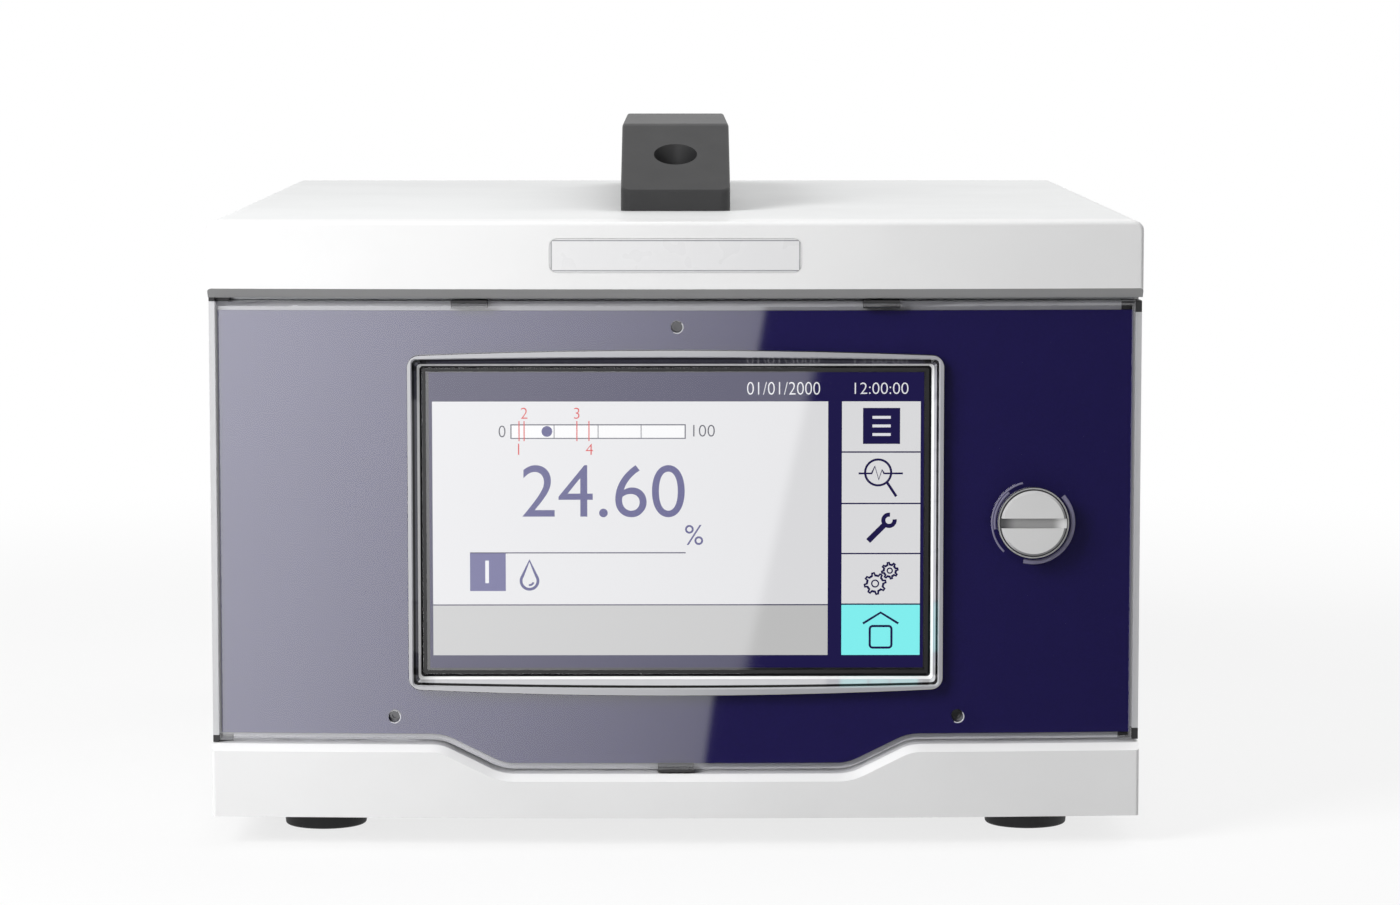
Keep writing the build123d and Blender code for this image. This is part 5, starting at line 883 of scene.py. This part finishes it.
class ANALYZER_OT_screen_pictograms(bpy.types.Operator):
    """Make the key pictograms, the gauge's dot and the water drop on the screen"""

    bl_idname = "analyzer.screen_pictograms"
    bl_label = "Screen pictograms"

    def execute(self, context):
        screen = context.scene.analyzer_screen
        power = screen.brightness
        ink = lit("lit_pictogram", tuple(screen.ink), power)
        soft = lit("lit_soft_pictogram", linear(62, 60, 122), power)
        pale = lit("lit_pale_pictogram", linear(222, 222, 228), power)
        front = LIT_FLOOR - 0.18
        bars = [stroke([(60.4, z), (66.0, z)], 1.0, front) for z in (131.4, 128.75, 126.1)]
        settle(join(bars), "screen_menu_bars", pale, "door")
        lens = (62.2, 114.4)
        glass = [stroke(circle(lens, 4.0), 0.8, front, closed=True)]
        pulse = [(56.2, 114.1), (60.2, 114.1), (61.2, 116.3), (62.4, 112.2)]
        pulse += [(63.4, 115.2), (64.0, 114.1), (69.8, 114.1)]
        glass.append(stroke(pulse, 0.68, front))
        glass.append(stroke([(64.9, 111.4), (67.8, 107.0)], 0.95, front))
        settle(join(glass), "screen_trend_key", ink, "door")
        head = (65.6, 99.6)
        wrench = [stroke([(59.2, 93.2), (64.5, 98.5)], 2.0, front)]
        wrench.append(stroke(arc(head, 1.75, 10, -280, 24), 1.5, front))
        settle(join(wrench), "screen_service_key", ink, "door")
        cogs = []
        for centre, inner, outer in (((61.4, 80.0), 2.5, 3.3), ((65.9, 84.0), 1.85, 2.5)):
            cogs.append(stroke(gear_outline(centre, inner, outer, 8), 0.8, front, closed=True))
            cogs.append(stroke(circle(centre, inner * 0.42, 20), 0.5, front, closed=True))
        settle(join(cogs), "screen_setup_key", ink, "door")
        house = [stroke([(57.7, 67.6), (63.15, 71.0), (68.6, 67.6)], 0.8, front)]
        wall = arc((65.6, 65.9), 0.9, 0, 90, 4) + arc((60.7, 65.9), 0.9, 90, 180, 4)
        wall += arc((60.7, 61.0), 0.9, 180, 270, 4) + arc((65.6, 61.0), 0.9, 270, 360, 4)
        house.append(stroke(wall, 0.8, front, closed=True))
        settle(join(house), "screen_home_key", ink, "door")
        drop = [(-45.0, 87.2)] + arc((-45.0, 80.9), 2.6, 35, -215, 24)
        marks = [stroke(drop, 1.0, front, closed=True)]
        marks.append(stroke(arc((-45.0, 80.9), 1.3, -20, -100, 8), 0.7, front))
        settle(join(marks), "screen_water_drop", soft, "door")
        dot = []
        for radius in (0.25, 0.65, 1.05, 1.4):
            dot.append(stroke(circle((-39.5, 127.1), radius, 20), 0.6, front, closed=True))
        settle(join(dot), "screen_gauge_dot", soft, "door")
        return {"FINISHED"}


class ANALYZER_OT_stage(bpy.types.Operator):
    """Set the floor, the lamps, the softbox that the door mirrors, and the camera"""

    bl_idname = "analyzer.stage"
    bl_label = "Studio"

    def floor(self):
        deselect()
        bpy.ops.mesh.primitive_plane_add(size=8.0)
        floor = bpy.context.object
        floor.name = "studio_floor"
        finish = Finish("floor_white")
        x, y, _ = finish.millimetres()
        far = ((x * x + y * y) ** 0.5).ramp(300.0, 900.0)
        path = finish.node("ShaderNodeLightPath").socket.node
        camera = Wire(finish, path.outputs["Is Camera Ray"])
        white = (0.93, 0.93, 0.93)
        finish.set(Base_Color=finish.mix(camera, shaded(white, 0.5), white), Roughness=0.9)
        glow = finish.node("ShaderNodeEmission", inputs={"Color": (1.0, 1.0, 1.0)})
        plain = Wire(finish, finish.shader.outputs[0])
        share = camera * (far * 0.22 + 0.78)
        mixed = finish.node("ShaderNodeMixShader", inputs={0: share, 1: plain, 2: glow})
        finish.feed(finish.output.inputs["Surface"], mixed)
        floor.data.materials.append(finish.material)
        floor.visible_glossy = False

    def world(self, fill):
        world = bpy.data.worlds.new("studio_world")
        world.use_nodes = True
        bpy.context.scene.world = world
        tree = world.node_tree
        background = tree.nodes["Background"]
        path = tree.nodes.new("ShaderNodeLightPath")
        seen = path.outputs["Is Camera Ray"]
        for ray in ("Is Glossy Ray", "Is Transmission Ray"):
            either = tree.nodes.new("ShaderNodeMath")
            either.operation = "MAXIMUM"
            tree.links.new(seen, either.inputs[0])
            tree.links.new(path.outputs[ray], either.inputs[1])
            seen = either.outputs[0]
        level = tree.nodes.new("ShaderNodeMapRange")
        tree.links.new(seen, level.inputs["Value"])
        level.inputs["To Min"].default_value = fill
        level.inputs["To Max"].default_value = 1.0
        tree.links.new(level.outputs[0], background.inputs["Strength"])
        background.inputs["Color"].default_value = (1.0, 1.0, 1.0, 1.0)

    def softbox(self, brightness):
        """A large card that only gloss sees: lit at its left, dark at its right."""
        card = upright_sheet(SOFTBOX, SOFTBOX_FRONT)
        card.name = "studio_softbox"
        bpy.ops.object.mode_set(mode="EDIT")
        bpy.ops.mesh.select_all(action="SELECT")
        bpy.ops.mesh.subdivide(number_cuts=3)
        bpy.ops.object.mode_set(mode="OBJECT")
        finish = Finish("softbox_face")
        x, _, z = finish.millimetres()
        edge = x - SOFTBOX_EDGE - z * SOFTBOX_LEAN
        lit_side = 1 - edge.ramp(-6.0, 6.0)
        fall = SOFTBOX_DIM_END - edge * SOFTBOX_FALL
        tall = z.ramp(-420.0, 60.0) * 0.12 + 0.88
        glow = lit_side * fall * tall * brightness + 0.02
        emission = finish.node("ShaderNodeEmission", inputs={"Strength": glow})
        finish.feed(finish.output.inputs["Surface"], emission)
        card.data.materials.append(finish.material)
        card.visible_camera = False
        card.visible_diffuse = False
        card.visible_shadow = False
        card.visible_transmission = False

    def lamp(self, name, place, target, size, power):
        deselect()
        bpy.ops.object.light_add(type="AREA", location=place)
        lamp = bpy.context.object
        lamp.name = name
        lamp.data.shape = "RECTANGLE"
        lamp.data.size, lamp.data.size_y = size
        lamp.data.energy = power
        aim = Vector(target) - Vector(place)
        lamp.rotation_euler = aim.to_track_quat("-Z", "Y").to_euler()
        lamp.visible_glossy = False

    def execute(self, context):
        studio = context.scene.analyzer_studio
        self.floor()
        self.world(studio.fill)
        self.softbox(studio.softbox)
        self.lamp("studio_key", (-0.75, -0.8, 0.72), (0.0, -0.1, 0.1), (0.6, 0.6), studio.key_power)
        self.lamp("studio_top", (0.55, 0.3, 1.0), (0.0, 0.05, 0.1), (1.2, 1.2), studio.top_power)
        bpy.ops.object.camera_add(
            location=(0, -studio.camera_distance, studio.camera_height),
            rotation=(math.radians(90 - CAMERA_TILT), 0, -math.radians(CAMERA_TURN)),
        )
        camera = bpy.context.object
        camera.name = "studio_camera"
        camera.data.lens = studio.lens
        camera.data.sensor_width = 36.0
        camera.data.clip_start = 0.05
        context.scene.camera = camera
        context.scene.view_settings.view_transform = "Standard"
        return {"FINISHED"}


class ANALYZER_PT_sidebar(bpy.types.Panel):
    bl_label = "Moisture analyzer"
    bl_idname = "ANALYZER_PT_sidebar"
    bl_space_type = "VIEW_3D"
    bl_region_type = "UI"
    bl_category = "Analyzer"

    def draw(self, context):
        for group in GROUPS:
            box = self.layout.box()
            values = getattr(context.scene, group)
            for key in values.bl_rna.properties.keys():
                if key not in ("rna_type", "name"):
                    box.prop(values, key)
        for operator in OPERATORS:
            self.layout.operator(operator.bl_idname)


GROUPS = {
    "analyzer_case": CaseProperties,
    "analyzer_door": DoorProperties,
    "analyzer_screen": ScreenProperties,
    "analyzer_studio": StudioProperties,
}
OPERATORS = (
    ANALYZER_OT_case,
    ANALYZER_OT_electronics,
    ANALYZER_OT_door,
    ANALYZER_OT_latch,
    ANALYZER_OT_window,
    ANALYZER_OT_screen_fields,
    ANALYZER_OT_screen_words,
    ANALYZER_OT_screen_pictograms,
    ANALYZER_OT_stage,
)


def register():
    for kind in (*GROUPS.values(), *OPERATORS, ANALYZER_PT_sidebar):
        bpy.utils.register_class(kind)
    for name, kind in GROUPS.items():
        setattr(bpy.types.Scene, name, bpy.props.PointerProperty(type=kind))


def unregister():
    for name in GROUPS:
        delattr(bpy.types.Scene, name)
    for kind in (ANALYZER_PT_sidebar, *OPERATORS, *GROUPS.values()):
        bpy.utils.unregister_class(kind)


def main():
    register()
    for operator in OPERATORS:
        group, name = operator.bl_idname.split(".")
        getattr(getattr(bpy.ops, group), name)()


if __name__ == "__main__":
    main()
